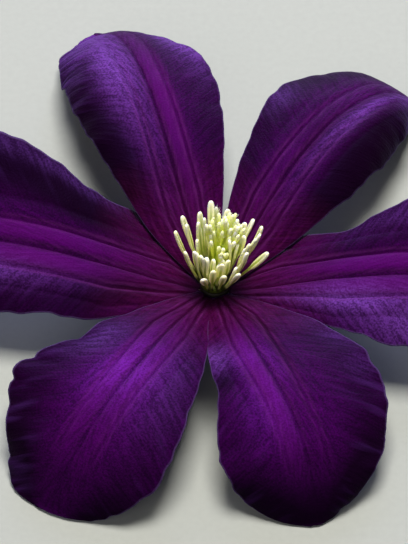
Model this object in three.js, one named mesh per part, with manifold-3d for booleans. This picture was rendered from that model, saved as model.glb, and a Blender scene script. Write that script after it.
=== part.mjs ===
// A clematis flower, picked with a short stub of stalk and lying face up on its tepal tips.
// Six broad arched tepals stand round a green receptacle, with a ring of strap-shaped stamens
// and a tuft of styles in the middle. Millimetres, +Z up, the surface it lies on is z = 0.
import * as THREE from 'three';
import { mergeVertices } from 'three/addons/utils/BufferGeometryUtils.js';
import Module from 'manifold-3d';

const wasm = await Module();
wasm.setup();

// Driving dimensions of the whole flower
const ATTACHMENT_HEIGHT = 5.0;
const FIT_GAP = 0.3;

// Receptacle and the cut stub of stalk below it, with heights from the tepals' attachment
const STALK = { radius: 1.1, endClearance: 0.5, flareFrom: -3, neckRadius: 1.9, neckHeight: -1.6 };
const RECEPTACLE = { radius: 2.55, bottom: -0.4, top: 0.6, bevel: 0.2 };
const ROUND_SIDES = 24;
const CURVE_STEPS = 5;

// Tepals: the blade, where it starts, and how finely it is divided; rows crowd towards the tip
const BLADE_THICKNESS = 0.6;
const TEPAL_ROOT_RADIUS = 3.0;
const TEPAL_ROWS = 24;
const TIP_CROWDING = 1.5;
const TIP_ROUNDING_START = 0.8;
const OUTER_COLUMNS = [0.3, 0.58, 0.82, 1];
const MIDRIB_STEPS = 200;

// The midrib and a vein on each side of it are sunk into the face, and fade out at root and tip
const VEINS = { halfWidth: 0.9, midribDepth: 0.6, sideDepth: 0.5 };
const VEIN_FADE = { root: 0.12, tip: 0.25 };
const WIDEST_VEIN_SHARE = 0.42;

// Margins wave only beyond this fraction of the length, and fully from the second
const WAVE_FROM = 0.15;
const WAVE_FULL = 0.4;

// Stamens stand on a collar round the foot of the pistils
const COLLAR = { inner: 1.65, outer: 2.9, height: 1.4, bevel: 0.45 };
const STAMEN_RINGS = [
  { count: 17, radius: 2.4, length: 12.4, lean: 40, tipLean: 22, scatter: 6 },
  { count: 15, radius: 2.25, length: 11.9, lean: 28, tipLean: 13, scatter: 4 },
  { count: 12, radius: 2.1, length: 11.4, lean: 16, tipLean: 8, scatter: 1.5 },
];
const FILAMENT = { width: 0.6, thickness: 0.5, end: 0.5 };
const ANTHER = { width: 1.3, thickness: 0.65, start: 0.64 };
const STAMEN_SPREAD = { turn: 5, length: 0.9, twist: 30 };
const SUNK_SHARE = 0.4;

// Pistils: a domed core with a tuft of styles standing out of it
const CORE = { radius: 1.3, height: 3.2 };
const STYLES = { count: 26, length: 14.4, shortest: 0.85, width: 0.46, spread: 5, footShare: 0.8 };
const STYLE_TAPER = [{ at: 0, size: 1 }, { at: 0.6, size: 0.9 }, { at: 1, size: 0.5 }];

// The centre of the flower leans to the back and right, the styles more than the stamens
const CENTRE_LEAN = { heading: 55, stamens: 5, styles: 14 };

// Stamens on the far side of the styles are younger, and shorter by up to this share
const YOUNG_SIDE = { heading: 60, share: 0.22 };

// Tepal shapes. The midrib starts at the receptacle and runs out over the given length: heading is its
// compass direction from +X and slope its climb, both in degrees at even steps, and a vein runs on each
// side of it at the given spacing. Seen from the centre looking outwards, left and right hold the
// half-widths at WIDTH_STATIONS, the droop of that half in degrees, how blunt its tip is, and the waves
// along its margin.
const WIDTH_STATIONS = [0, 0.15, 0.3, 0.45, 0.6, 0.75, 0.88, 1];
const TEPALS = {
  tepal_back_left: {
    length: 71.5,
    veinSpacing: 3.2,
    heading: [114, 105, 106, 110, 123],
    slope: [26, 19, 0, -27, -57],
    left: {
      halfWidths: [1.1, 6.8, 10.5, 13.4, 14.8, 13.9, 11.2, 9.5],
      droop: [0, 35, 55, 10],
      flatPart: 0.25,
      blunt: 3,
      wave: { height: 0.7, count: 5, phase: 0.1 },
    },
    right: {
      halfWidths: [1.1, 6.3, 9.4, 11.9, 12.4, 9, 5.6, 3.5],
      droop: [0, 10, 20, 30],
      flatPart: 0,
      blunt: 2.4,
      wave: { height: 0.5, count: 3, phase: 0.3 },
    },
  },
  tepal_back_right: {
    length: 63.5,
    veinSpacing: 3.2,
    heading: [56, 58, 53, 46, 33],
    slope: [26, 18, 1, -26, -66],
    left: {
      halfWidths: [1.1, 5.2, 8.5, 11.4, 13.6, 11.9, 9.1, 6.5],
      droop: [0, 10, 20, 30],
      flatPart: 0,
      blunt: 2.8,
      wave: { height: 0.4, count: 3, phase: 0.6 },
    },
    right: {
      halfWidths: [1.1, 6.6, 10.4, 12.4, 12.7, 10.6, 7.2, 5],
      droop: [0, 35, 65, 60],
      flatPart: 0.25,
      blunt: 2.4,
      wave: { height: 0.7, count: 4, phase: 0.2 },
    },
  },
  tepal_left: {
    length: 62,
    veinSpacing: 4.4,
    lift: -1.1,
    heading: [177, 177, 173, 167, 163],
    slope: [22, 21, 8, -20, -58],
    roll: [0, -4, -14, -12, 0],
    left: {
      halfWidths: [1.1, 7.4, 11.4, 12.4, 13.2, 13.4, 12, 9],
      droop: [20, 20, 15, 20],
      flatPart: 0,
      blunt: 2.4,
      wave: { height: 0.6, count: 3, phase: 0 },
    },
    right: {
      halfWidths: [1.1, 13.8, 15.9, 18, 19.4, 19.2, 16, 11],
      droop: [25, 15, -10, 20],
      flatPart: 0,
      blunt: 2.4,
      wave: { height: 0.6, count: 3, phase: 0.4 },
    },
  },
  tepal_right: {
    length: 62,
    veinSpacing: 4.4,
    lift: -1.1,
    heading: [-6, -9, -6, 0, 7],
    slope: [22, 21, 8, -20, -58],
    roll: [0, 2, 10, 8, 0],
    left: {
      halfWidths: [1.1, 11.4, 12, 13, 15.4, 16.8, 14.5, 9],
      droop: [25, 10, -5, 20],
      flatPart: 0,
      blunt: 2.4,
      wave: { height: 0.5, count: 3, phase: 0.7 },
    },
    right: {
      halfWidths: [1.1, 5.6, 9.6, 13, 13.8, 13.7, 12, 8],
      droop: [20, 20, 15, 20],
      flatPart: 0,
      blunt: 2.4,
      wave: { height: 0.7, count: 3, phase: 0.1 },
    },
  },
  tepal_front_left: {
    length: 57,
    veinSpacing: 3.4,
    heading: [237, 242, 239, 236, 240],
    slope: [22, 17, 2, -28, -60],
    left: {
      halfWidths: [1.1, 5.1, 8.9, 11.9, 14.4, 15.3, 13, 10],
      droop: [0, 10, 20, 25],
      flatPart: 0,
      blunt: 3,
      wave: { height: 0.4, count: 3, phase: 0.5 },
    },
    right: {
      halfWidths: [1.1, 5.7, 10.2, 13.4, 18.8, 16.6, 12.6, 10],
      droop: [0, 10, 15, 20],
      flatPart: 0,
      blunt: 4.2,
      wave: { height: 0.8, count: 6, phase: 0.3 },
    },
  },
  tepal_front_right: {
    length: 55,
    veinSpacing: 3.4,
    heading: [292, 290, 292, 288, 276],
    slope: [22, 17, 2, -28, -64],
    left: {
      halfWidths: [1.1, 8, 13.8, 17.5, 18.1, 15.6, 11, 6],
      droop: [0, 10, 20, 25],
      flatPart: 0,
      blunt: 2.2,
      wave: { height: 0.5, count: 5, phase: 0 },
    },
    right: {
      halfWidths: [1.1, 5.2, 8.2, 10, 13.4, 14.4, 12.6, 10],
      droop: [0, 15, 25, 25],
      flatPart: 0,
      blunt: 2.8,
      wave: { height: 0.6, count: 4, phase: 0.2 },
    },
  },
};

const COLORS = { stalk: '#6f8148', tepal: '#4c1a70', stamens: '#e8e6bd', pistils: '#a9b665' };

const UP = new THREE.Vector3(0, 0, 1);

// A repeatable source of numbers between 0 and 1, so every build gives the same flower
function seededRandom(seed) {
  let state = seed;
  return () => {
    state = (state * 1664525 + 1013904223) % 4294967296;
    return state / 4294967296;
  };
}

// Smooth curve through values at the given stations, read at x
function smoothThrough(stations, values, x) {
  const last = stations.length - 1;
  let i = 0;
  while (i < last - 1 && x > stations[i + 1]) i += 1;
  const slopeAt = (k) => {
    const before = Math.max(k - 1, 0);
    const after = Math.min(k + 1, last);
    return (values[after] - values[before]) / (stations[after] - stations[before]);
  };
  const span = stations[i + 1] - stations[i];
  const t = THREE.MathUtils.clamp((x - stations[i]) / span, 0, 1);
  const rise = values[i + 1] - values[i];
  const start = slopeAt(i) * span;
  const end = slopeAt(i + 1) * span;
  return values[i] + start * t + (3 * rise - 2 * start - end) * t ** 2 + (start + end - 2 * rise) * t ** 3;
}

function smoothEven(values, x) {
  const stations = values.map((value, i) => i / (values.length - 1));
  return smoothThrough(stations, values, x);
}

function pointAround(radius, angle, z) {
  return new THREE.Vector3(radius * Math.cos(angle), radius * Math.sin(angle), z);
}

// The unit direction with this compass heading and climb, in radians
function direction(heading, slope) {
  const level = Math.cos(slope);
  return new THREE.Vector3(level * Math.cos(heading), level * Math.sin(heading), Math.sin(slope));
}

// Joins and cuts work on solids whose corners are shared by their faces
function solidFrom(geometry) {
  const bare = geometry.clone();
  bare.deleteAttribute('normal');
  bare.deleteAttribute('uv');
  const merged = mergeVertices(bare);
  const vertProperties = new Float32Array(merged.attributes.position.array);
  const triVerts = new Uint32Array(merged.index.array);
  return new wasm.Manifold(new wasm.Mesh({ numProp: 3, vertProperties, triVerts }));
}

function geometryFrom(solid) {
  const { vertProperties, triVerts } = solid.getMesh();
  const geometry = new THREE.BufferGeometry();
  geometry.setAttribute('position', new THREE.BufferAttribute(vertProperties, 3));
  geometry.setIndex(new THREE.BufferAttribute(triVerts, 1));
  return geometry;
}

// A profile of radius and height, turned round the upright axis
function turnedAround(profile, sides) {
  return new THREE.LatheGeometry(profile, sides).rotateX(Math.PI / 2);
}

function fuse(solids) {
  return solids.reduce((joined, solid) => joined.add(solid));
}

function geometryOf(points, triangles) {
  const geometry = new THREE.BufferGeometry().setFromPoints(points);
  geometry.setIndex(triangles.flat());
  return geometry;
}

// A closed strand through rings of points, all wound the same way round its path
function strand(rings) {
  const sides = rings[0].length;
  const triangles = [];
  for (let i = 0; i < rings.length - 1; i += 1) {
    for (let j = 0; j < sides; j += 1) {
      const a = i * sides + j;
      const b = i * sides + ((j + 1) % sides);
      triangles.push([a, b, b + sides], [a, b + sides, a + sides]);
    }
  }
  const lastRing = (rings.length - 1) * sides;
  for (let j = 1; j < sides - 1; j += 1) {
    triangles.push([0, j + 1, j], [lastRing, lastRing + j, lastRing + j + 1]);
  }
  return geometryOf(rings.flat(), triangles);
}

// A solid blade of even thickness round a grid of middle points that closes on a single tip point.
// Rows run across the blade from its right margin to its left, and both faces share their diagonals.
function blade(rows, tip, thickness) {
  const columns = rows[0].length;
  const normalAt = (i, j) => {
    const ahead = i + 1 < rows.length ? rows[i + 1][j] : tip;
    const along = ahead.clone().sub(rows[Math.max(i - 1, 0)][j]);
    const across = rows[i][Math.min(j + 1, columns - 1)].clone().sub(rows[i][Math.max(j - 1, 0)]);
    return along.cross(across).normalize();
  };
  const normals = rows.map((row, i) => row.map((point, j) => normalAt(i, j)));
  const middle = Math.floor(columns / 2);
  const tipNormal = normals[rows.length - 1][middle];
  const face = (offset) => [
    ...rows.flatMap((row, i) => row.map((point, j) => point.clone().addScaledVector(normals[i][j], offset))),
    tip.clone().addScaledVector(tipNormal, offset),
  ];
  const upper = face(thickness / 2);
  const lower = face(-thickness / 2);
  const at = (i, j) => (i < rows.length ? i * columns + j : rows.length * columns);
  const skin = [];
  for (let i = 0; i < rows.length; i += 1) {
    for (let j = 0; j < columns - 1; j += 1) {
      skin.push([at(i, j), at(i + 1, j + 1), at(i, j + 1)]);
      if (i < rows.length - 1) skin.push([at(i, j), at(i + 1, j), at(i + 1, j + 1)]);
    }
  }
  const rim = [];
  for (let j = 0; j < columns - 1; j += 1) rim.push([at(0, j), at(0, j + 1)]);
  for (let i = 0; i < rows.length; i += 1) {
    rim.push([at(i + 1, 0), at(i, 0)]);
    rim.push([at(i, columns - 1), at(i + 1, columns - 1)]);
  }
  const shift = upper.length;
  const triangles = [
    ...skin,
    ...skin.map(([a, b, c]) => [a + shift, c + shift, b + shift]),
    ...rim.flatMap(([a, b]) => [[a, b, b + shift], [a, b + shift, a + shift]]),
  ];
  return geometryOf([...upper, ...lower], triangles);
}

// Points and frames down the middle of a tepal: t looks outwards, s to its left and n up from its face
function midribFrames(tepal, fractions) {
  const tangentAt = (fraction) => {
    const heading = THREE.MathUtils.degToRad(smoothEven(tepal.heading, fraction));
    const slope = THREE.MathUtils.degToRad(smoothEven(tepal.slope, fraction));
    return direction(heading, slope);
  };
  const startHeading = THREE.MathUtils.degToRad(tepal.heading[0]);
  const point = pointAround(TEPAL_ROOT_RADIUS, startHeading, tepal.lift ?? 0);
  const walked = [point.clone()];
  for (let k = 0; k < MIDRIB_STEPS; k += 1) {
    point.addScaledVector(tangentAt((k + 0.5) / MIDRIB_STEPS), tepal.length / MIDRIB_STEPS);
    walked.push(point.clone());
  }
  return fractions.map((fraction) => {
    const place = fraction * MIDRIB_STEPS;
    const k = Math.min(Math.floor(place), MIDRIB_STEPS - 1);
    const t = tangentAt(fraction);
    const level = UP.clone().cross(t).normalize();
    const roll = THREE.MathUtils.degToRad(smoothEven(tepal.roll ?? [0, 0], fraction));
    const s = level.applyAxisAngle(t, roll);
    return { point: walked[k].clone().lerp(walked[k + 1], place - k), s, n: t.clone().cross(s) };
  });
}

// How far the veins press the blade down at this distance from the midrib
function veinRelief(distance, spacing, fraction) {
  const pressed = (offset) => Math.exp(-((offset / VEINS.halfWidth) ** 2));
  const strength = Math.min(1, fraction / VEIN_FADE.root, (1 - fraction) / VEIN_FADE.tip);
  return -strength * (VEINS.midribDepth * pressed(distance) + VEINS.sideDepth * pressed(distance - spacing));
}

// Offset from the midrib of the point at a share of one half's width: sideways and up from the face
function halfSection(half, fraction, share, width, veinSpacing) {
  const droop = THREE.MathUtils.degToRad(smoothEven(half.droop, fraction));
  const bent = Math.max(0, (share - half.flatPart) / (1 - half.flatPart));
  const reach = 1 - half.flatPart;
  const isBent = bent > 0 && Math.abs(droop) > 1e-3;
  const aside = isBent ? half.flatPart + (reach / droop) * Math.sin(droop * bent) : share;
  const down = isBent ? (reach / droop) * (1 - Math.cos(droop * bent)) : 0;
  const { height, count, phase } = half.wave;
  const fade = THREE.MathUtils.clamp((fraction - WAVE_FROM) / (WAVE_FULL - WAVE_FROM), 0, 1);
  const wave = height * share ** 3 * Math.sin(2 * Math.PI * (count * fraction + phase)) * fade;
  const up = wave - width * down + veinRelief(width * share, veinSpacing, fraction);
  return { aside: width * aside, up };
}

// Half the width of one side of a tepal at a fraction of its length, rounded off at the tip
function halfWidth(half, fraction) {
  const beyond = Math.max(0, (fraction - TIP_ROUNDING_START) / (1 - TIP_ROUNDING_START));
  const rounding = (1 - beyond ** half.blunt) ** (1 / half.blunt);
  return smoothThrough(WIDTH_STATIONS, half.halfWidths, fraction) * rounding;
}

// Shares of a half's width that get a column: the crest and the side vein first, then out to the margin
function columnShares(width, veinSpacing) {
  const vein = Math.min(veinSpacing / width, WIDEST_VEIN_SHARE);
  return [vein / 2, vein, ...OUTER_COLUMNS.map((share) => vein + (1 - vein) * share)];
}

function tepalGeometry(tepal) {
  const fractions = Array.from({ length: TEPAL_ROWS }, (_, i) => 1 - (1 - i / TEPAL_ROWS) ** TIP_CROWDING);
  const frames = midribFrames(tepal, [...fractions, 1]);
  const tip = frames.pop().point;
  const rows = frames.map(({ point, s, n }, i) => {
    const fraction = fractions[i];
    const sideOf = (half, sign) => {
      const width = halfWidth(half, fraction);
      const shares = columnShares(width, tepal.veinSpacing);
      const spacing = shares[1] * width;
      return shares.map((share) => {
        const { aside, up } = halfSection(half, fraction, share, width, spacing);
        return point.clone().addScaledVector(s, sign * aside).addScaledVector(n, up);
      });
    };
    const middle = point.clone().addScaledVector(n, veinRelief(0, tepal.veinSpacing, fraction));
    return [...sideOf(tepal.right, -1).reverse(), middle, ...sideOf(tepal.left, 1)];
  });
  return blade(rows, tip, BLADE_THICKNESS);
}

// What of the flower is above the surface that it lies on
function clipToSurface(geometry) {
  const size = 200;
  const above = new THREE.BoxGeometry(size, size, size);
  above.translate(0, 0, size / 2 - ATTACHMENT_HEIGHT);
  return geometryFrom(solidFrom(geometry).intersect(solidFrom(above)));
}

function stalkGeometry() {
  const cutEnd = STALK.endClearance - ATTACHMENT_HEIGHT;
  const profile = new THREE.Path();
  profile.moveTo(0, cutEnd);
  profile.lineTo(STALK.radius, cutEnd);
  profile.lineTo(STALK.radius, STALK.flareFrom);
  profile.quadraticCurveTo(STALK.radius, STALK.neckHeight, STALK.neckRadius, STALK.neckHeight);
  profile.quadraticCurveTo(RECEPTACLE.radius, STALK.neckHeight, RECEPTACLE.radius, RECEPTACLE.bottom);
  profile.lineTo(RECEPTACLE.radius, RECEPTACLE.top - RECEPTACLE.bevel);
  profile.lineTo(RECEPTACLE.radius - RECEPTACLE.bevel, RECEPTACLE.top);
  profile.lineTo(0, RECEPTACLE.top);
  return turnedAround(profile.getPoints(CURVE_STEPS), ROUND_SIDES);
}

// Tips a direction over with the rest of the flower's centre, by this many degrees if it was upright
function leaned(along, degrees) {
  const sideways = Math.tan(THREE.MathUtils.degToRad(degrees));
  const heading = THREE.MathUtils.degToRad(CENTRE_LEAN.heading);
  return along.add(pointAround(sideways, heading, 0)).normalize();
}

// One stamen: a slim filament that widens into a flat strap-like anther with a rounded end
function stamenGeometry(angle, ring, random) {
  const spread = (amount) => (2 * random() - 1) * amount;
  const turned = angle + THREE.MathUtils.degToRad(spread(STAMEN_SPREAD.turn));
  const scatter = spread(ring.scatter);
  const lean = THREE.MathUtils.degToRad(ring.lean + scatter);
  const tipLean = THREE.MathUtils.degToRad(ring.tipLean + scatter);
  const young = Math.max(0, Math.cos(turned - THREE.MathUtils.degToRad(YOUNG_SIDE.heading)));
  const length = (ring.length + spread(STAMEN_SPREAD.length)) * (1 - YOUNG_SIDE.share * young);
  const twist = THREE.MathUtils.degToRad(spread(STAMEN_SPREAD.twist));
  const sections = [
    { at: 0, width: FILAMENT.width, thickness: FILAMENT.thickness },
    { at: 0.25, width: FILAMENT.width, thickness: FILAMENT.thickness },
    { at: FILAMENT.end, width: FILAMENT.width, thickness: FILAMENT.thickness },
    { at: ANTHER.start, width: ANTHER.width * 0.9, thickness: ANTHER.thickness },
    { at: 0.8, width: ANTHER.width, thickness: ANTHER.thickness },
    { at: 0.94, width: ANTHER.width * 0.85, thickness: ANTHER.thickness },
    { at: 1, width: ANTHER.width * 0.4, thickness: ANTHER.thickness * 0.6 },
  ];
  const tangentAt = (at) => {
    const upright = direction(turned, Math.PI / 2 - THREE.MathUtils.lerp(lean, tipLean, at));
    return leaned(upright, CENTRE_LEAN.stamens);
  };
  const foot = RECEPTACLE.top + FIT_GAP + SUNK_SHARE * COLLAR.height;
  const point = pointAround(ring.radius, turned, foot);
  let reached = 0;
  const rings = sections.map(({ at, width, thickness }) => {
    point.addScaledVector(tangentAt((reached + at) / 2), (at - reached) * length);
    reached = at;
    const along = tangentAt(at);
    const wide = UP.clone().cross(along).normalize().applyAxisAngle(along, twist);
    const thick = along.clone().cross(wide);
    const halfWide = wide.multiplyScalar(width / 2);
    const halfThick = thick.multiplyScalar(thickness / 2);
    return [
      point.clone().add(halfWide),
      point.clone().add(halfThick),
      point.clone().sub(halfWide),
      point.clone().sub(halfThick),
    ];
  });
  return strand(rings);
}

function stamensGeometry() {
  const random = seededRandom(11);
  const bottom = RECEPTACLE.top + FIT_GAP;
  const top = bottom + COLLAR.height;
  const profile = [
    new THREE.Vector2(COLLAR.inner, bottom),
    new THREE.Vector2(COLLAR.outer, bottom),
    new THREE.Vector2(COLLAR.outer, top - COLLAR.bevel),
    new THREE.Vector2(COLLAR.outer - COLLAR.bevel, top),
    new THREE.Vector2(COLLAR.inner, top),
    new THREE.Vector2(COLLAR.inner, bottom),
  ];
  const solids = [solidFrom(turnedAround(profile, ROUND_SIDES))];
  STAMEN_RINGS.forEach((ring, ringNumber) => {
    for (let i = 0; i < ring.count; i += 1) {
      const angle = ((i + 0.5 * ringNumber) / ring.count) * 2 * Math.PI;
      solids.push(solidFrom(stamenGeometry(angle, ring, random)));
    }
  });
  return geometryFrom(fuse(solids));
}

// One style: a thin three-sided needle that stands out of the core and tapers to its tip
function styleGeometry(angle, share, random) {
  const spread = THREE.MathUtils.degToRad(STYLES.spread * share);
  const length = STYLES.length * THREE.MathUtils.lerp(STYLES.shortest, 1, random());
  const foot = RECEPTACLE.top + FIT_GAP + SUNK_SHARE * CORE.height;
  const start = pointAround(STYLES.footShare * CORE.radius * share, angle, foot);
  const along = leaned(direction(angle, Math.PI / 2 - spread), CENTRE_LEAN.styles);
  const aside = UP.clone().cross(along).normalize();
  const out = aside.clone().cross(along);
  const turn = 2 * Math.PI * random();
  const rings = STYLE_TAPER.map(({ at, size }) => {
    const centre = start.clone().addScaledVector(along, at * length);
    const radius = (STYLES.width / 2) * size;
    return [0, 1, 2].map((corner) => {
      const around = turn + (corner * 2 * Math.PI) / 3;
      const wide = centre.clone().addScaledVector(out, radius * Math.cos(around));
      return wide.addScaledVector(aside, radius * Math.sin(around));
    });
  });
  return strand(rings);
}

function pistilsGeometry() {
  const random = seededRandom(5);
  const goldenAngle = Math.PI * (3 - Math.sqrt(5));
  const bottom = RECEPTACLE.top + FIT_GAP;
  const profile = new THREE.Path();
  profile.moveTo(0, bottom);
  profile.lineTo(CORE.radius, bottom);
  profile.lineTo(CORE.radius, bottom + CORE.height / 2);
  profile.quadraticCurveTo(CORE.radius, bottom + CORE.height, 0, bottom + CORE.height);
  const solids = [solidFrom(turnedAround(profile.getPoints(CURVE_STEPS), ROUND_SIDES / 2))];
  for (let i = 0; i < STYLES.count; i += 1) {
    const share = Math.sqrt((i + 0.5) / STYLES.count);
    solids.push(solidFrom(styleGeometry(i * goldenAngle, share, random)));
  }
  return geometryFrom(fuse(solids));
}

function addPiece(group, name, geometry, color, roughness) {
  const material = new THREE.MeshStandardMaterial({ color, roughness, metalness: 0 });
  const mesh = new THREE.Mesh(geometry, material);
  mesh.name = name;
  group.add(mesh);
}

const flower = new THREE.Group();
addPiece(flower, 'stalk', stalkGeometry(), COLORS.stalk, 0.6);
for (const [name, tepal] of Object.entries(TEPALS)) {
  addPiece(flower, name, clipToSurface(tepalGeometry(tepal)), COLORS.tepal, 0.7);
}
addPiece(flower, 'stamens', stamensGeometry(), COLORS.stamens, 0.7);
addPiece(flower, 'pistils', pistilsGeometry(), COLORS.pistils, 0.7);

// The origin is on the surface, under the middle of the flower's box
const box = new THREE.Box3().setFromObject(flower);
const centre = box.getCenter(new THREE.Vector3());
flower.position.set(-centre.x, -centre.y, -box.min.z);

export default flower;
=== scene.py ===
# %% [markdown]
# # A dark violet clematis flower
# The flower has been picked and laid face up: six velvety tepals round a tuft of cream stamens and
# silky styles, on a short stub of green stalk. A clematis has no true petals. What look like petals
# are coloured sepals, called tepals, and each one is a thin sheet with three strong veins.
#
# The construction model already says where every piece lies and how big it is. This lesson loads it
# as a fixed frame and builds the finished look of each piece in the same place.

# %% Load the construction model
import math
from functools import partial

import bpy
import numpy as np
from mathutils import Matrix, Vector


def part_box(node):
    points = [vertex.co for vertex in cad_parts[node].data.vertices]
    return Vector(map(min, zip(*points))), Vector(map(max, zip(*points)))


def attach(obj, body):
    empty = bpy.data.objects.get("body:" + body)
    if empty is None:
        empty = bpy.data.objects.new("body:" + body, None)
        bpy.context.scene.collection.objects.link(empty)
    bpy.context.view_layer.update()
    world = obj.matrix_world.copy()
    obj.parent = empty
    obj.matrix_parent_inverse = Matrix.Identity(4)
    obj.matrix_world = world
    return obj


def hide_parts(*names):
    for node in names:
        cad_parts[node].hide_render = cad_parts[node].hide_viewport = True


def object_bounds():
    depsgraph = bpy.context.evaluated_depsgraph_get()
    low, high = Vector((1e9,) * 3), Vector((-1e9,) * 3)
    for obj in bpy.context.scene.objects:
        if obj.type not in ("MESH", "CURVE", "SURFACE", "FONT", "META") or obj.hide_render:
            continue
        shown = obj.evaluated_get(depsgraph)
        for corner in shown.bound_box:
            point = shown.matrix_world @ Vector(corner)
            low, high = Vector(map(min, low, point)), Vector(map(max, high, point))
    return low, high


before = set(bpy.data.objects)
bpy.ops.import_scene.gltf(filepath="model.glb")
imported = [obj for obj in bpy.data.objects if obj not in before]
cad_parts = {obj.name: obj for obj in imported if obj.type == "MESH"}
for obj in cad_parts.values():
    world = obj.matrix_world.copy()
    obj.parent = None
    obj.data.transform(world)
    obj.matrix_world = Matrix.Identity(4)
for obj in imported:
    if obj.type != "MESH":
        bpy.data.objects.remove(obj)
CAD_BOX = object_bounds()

MM = 0.001
size = CAD_BOX[1] - CAD_BOX[0]
print("nodes:", ", ".join(sorted(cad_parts)))
print("size in mm:", [round(length / MM, 1) for length in size])

# %% [markdown]
# ## Where the flower's axis is
# Everything in a flower is set round one axis, so its place is worked out first. The stalk's solid is
# round, so the middle of its box is on the axis. The tepals grow out of the receptacle, the swollen
# top of the stalk, a little below the top of that box.

# %% The axis and the height of attachment
RECEPTACLE_TOP = 0.6 * MM

stalk_low, stalk_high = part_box("stalk")
AXIS = Vector(((stalk_low.x + stalk_high.x) / 2, (stalk_low.y + stalk_high.y) / 2, 0))
ATTACHMENT = Vector((AXIS.x, AXIS.y, stalk_high.z - RECEPTACLE_TOP))
print("attachment in mm:", [round(value / MM, 2) for value in ATTACHMENT])

# %% [markdown]
# ## Two small helpers
# Colours are easier to choose as sRGB hex values, as in any paint program, but shaders work in
# linear light, so one function converts them. Another adds a node to a tree, sets its properties and
# fills its inputs with values, sockets or other nodes. Each tree below fills in the first argument
# once, with `partial`, and calls the result `add`, which keeps it short enough to read.

# %% Colours and nodes
def hex_color(text):
    """A linear RGBA colour from an sRGB hex value."""
    parts = [int(text[i : i + 2], 16) / 255 for i in (1, 3, 5)]
    linear = [c / 12.92 if c <= 0.04045 else ((c + 0.055) / 1.055) ** 2.4 for c in parts]
    return (*linear, 1.0)


def add_node(tree, kind, inputs=None, **settings):
    """Adds a node. A key of inputs is a socket's number or name, and a list makes several links."""
    node = tree.nodes.new(kind)
    for name, value in settings.items():
        setattr(node, name, value)
    for key, value in (inputs or {}).items():
        if isinstance(key, int):
            socket = node.inputs[key]
        else:
            socket = next(s for s in node.inputs if s.enabled and s.name == key)
        for source in value if isinstance(value, list) else [value]:
            if isinstance(source, bpy.types.Node):
                source = next(s for s in source.outputs if s.enabled)
            if isinstance(source, bpy.types.NodeSocket):
                tree.links.new(source, socket)
            else:
                socket.default_value = source
    return node


print("deep violet in linear light:", [round(c, 4) for c in hex_color("#2c0a44")[:3]])

# %% [markdown]
# ## The shape of a tepal
# A tepal could be sculpted, but six of them that belong together are easier to get from a rule. The
# rule here is the one that the construction model follows. A midrib leaves the receptacle with a
# compass heading and a slope that change along its length. At each step along it the blade reaches
# out to both sides by a half-width, and droops, and its margin waves up and down.
#
# Each list gives values from root to tip, and a smooth curve is drawn through them: the half-widths
# are given at the width stations, which stand closer near the tip, and the rest at even steps.
# Seen from the centre looking outwards, `left` and `right` are the two halves. The front pair is
# shorter than the back pair, and the two side tepals are broad with a crest along the far margin.

# %% The six tepals, in millimetres and degrees
WIDTH_STATIONS = [0, 0.15, 0.3, 0.45, 0.6, 0.75, 0.88, 1]


def half(widths, droop, blunt, wave, **look):
    """One half of a tepal. wave is height, count and phase, and a notch is a place and a depth.

    A patch of painted sheen, painted light or painted shadow is its place across and along, its reach in
    both, and its strength.
    """
    plain = dict(bloom=(), glow=(), dark=(), flat=0.0, notches=())
    return plain | dict(widths=widths, droop=droop, blunt=blunt, wave=wave) | look


# Each half's shade and dark patches and each tepal's tip_shade are painted shade, and the bloom and glow
# patches are painted sheen and painted light
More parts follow.
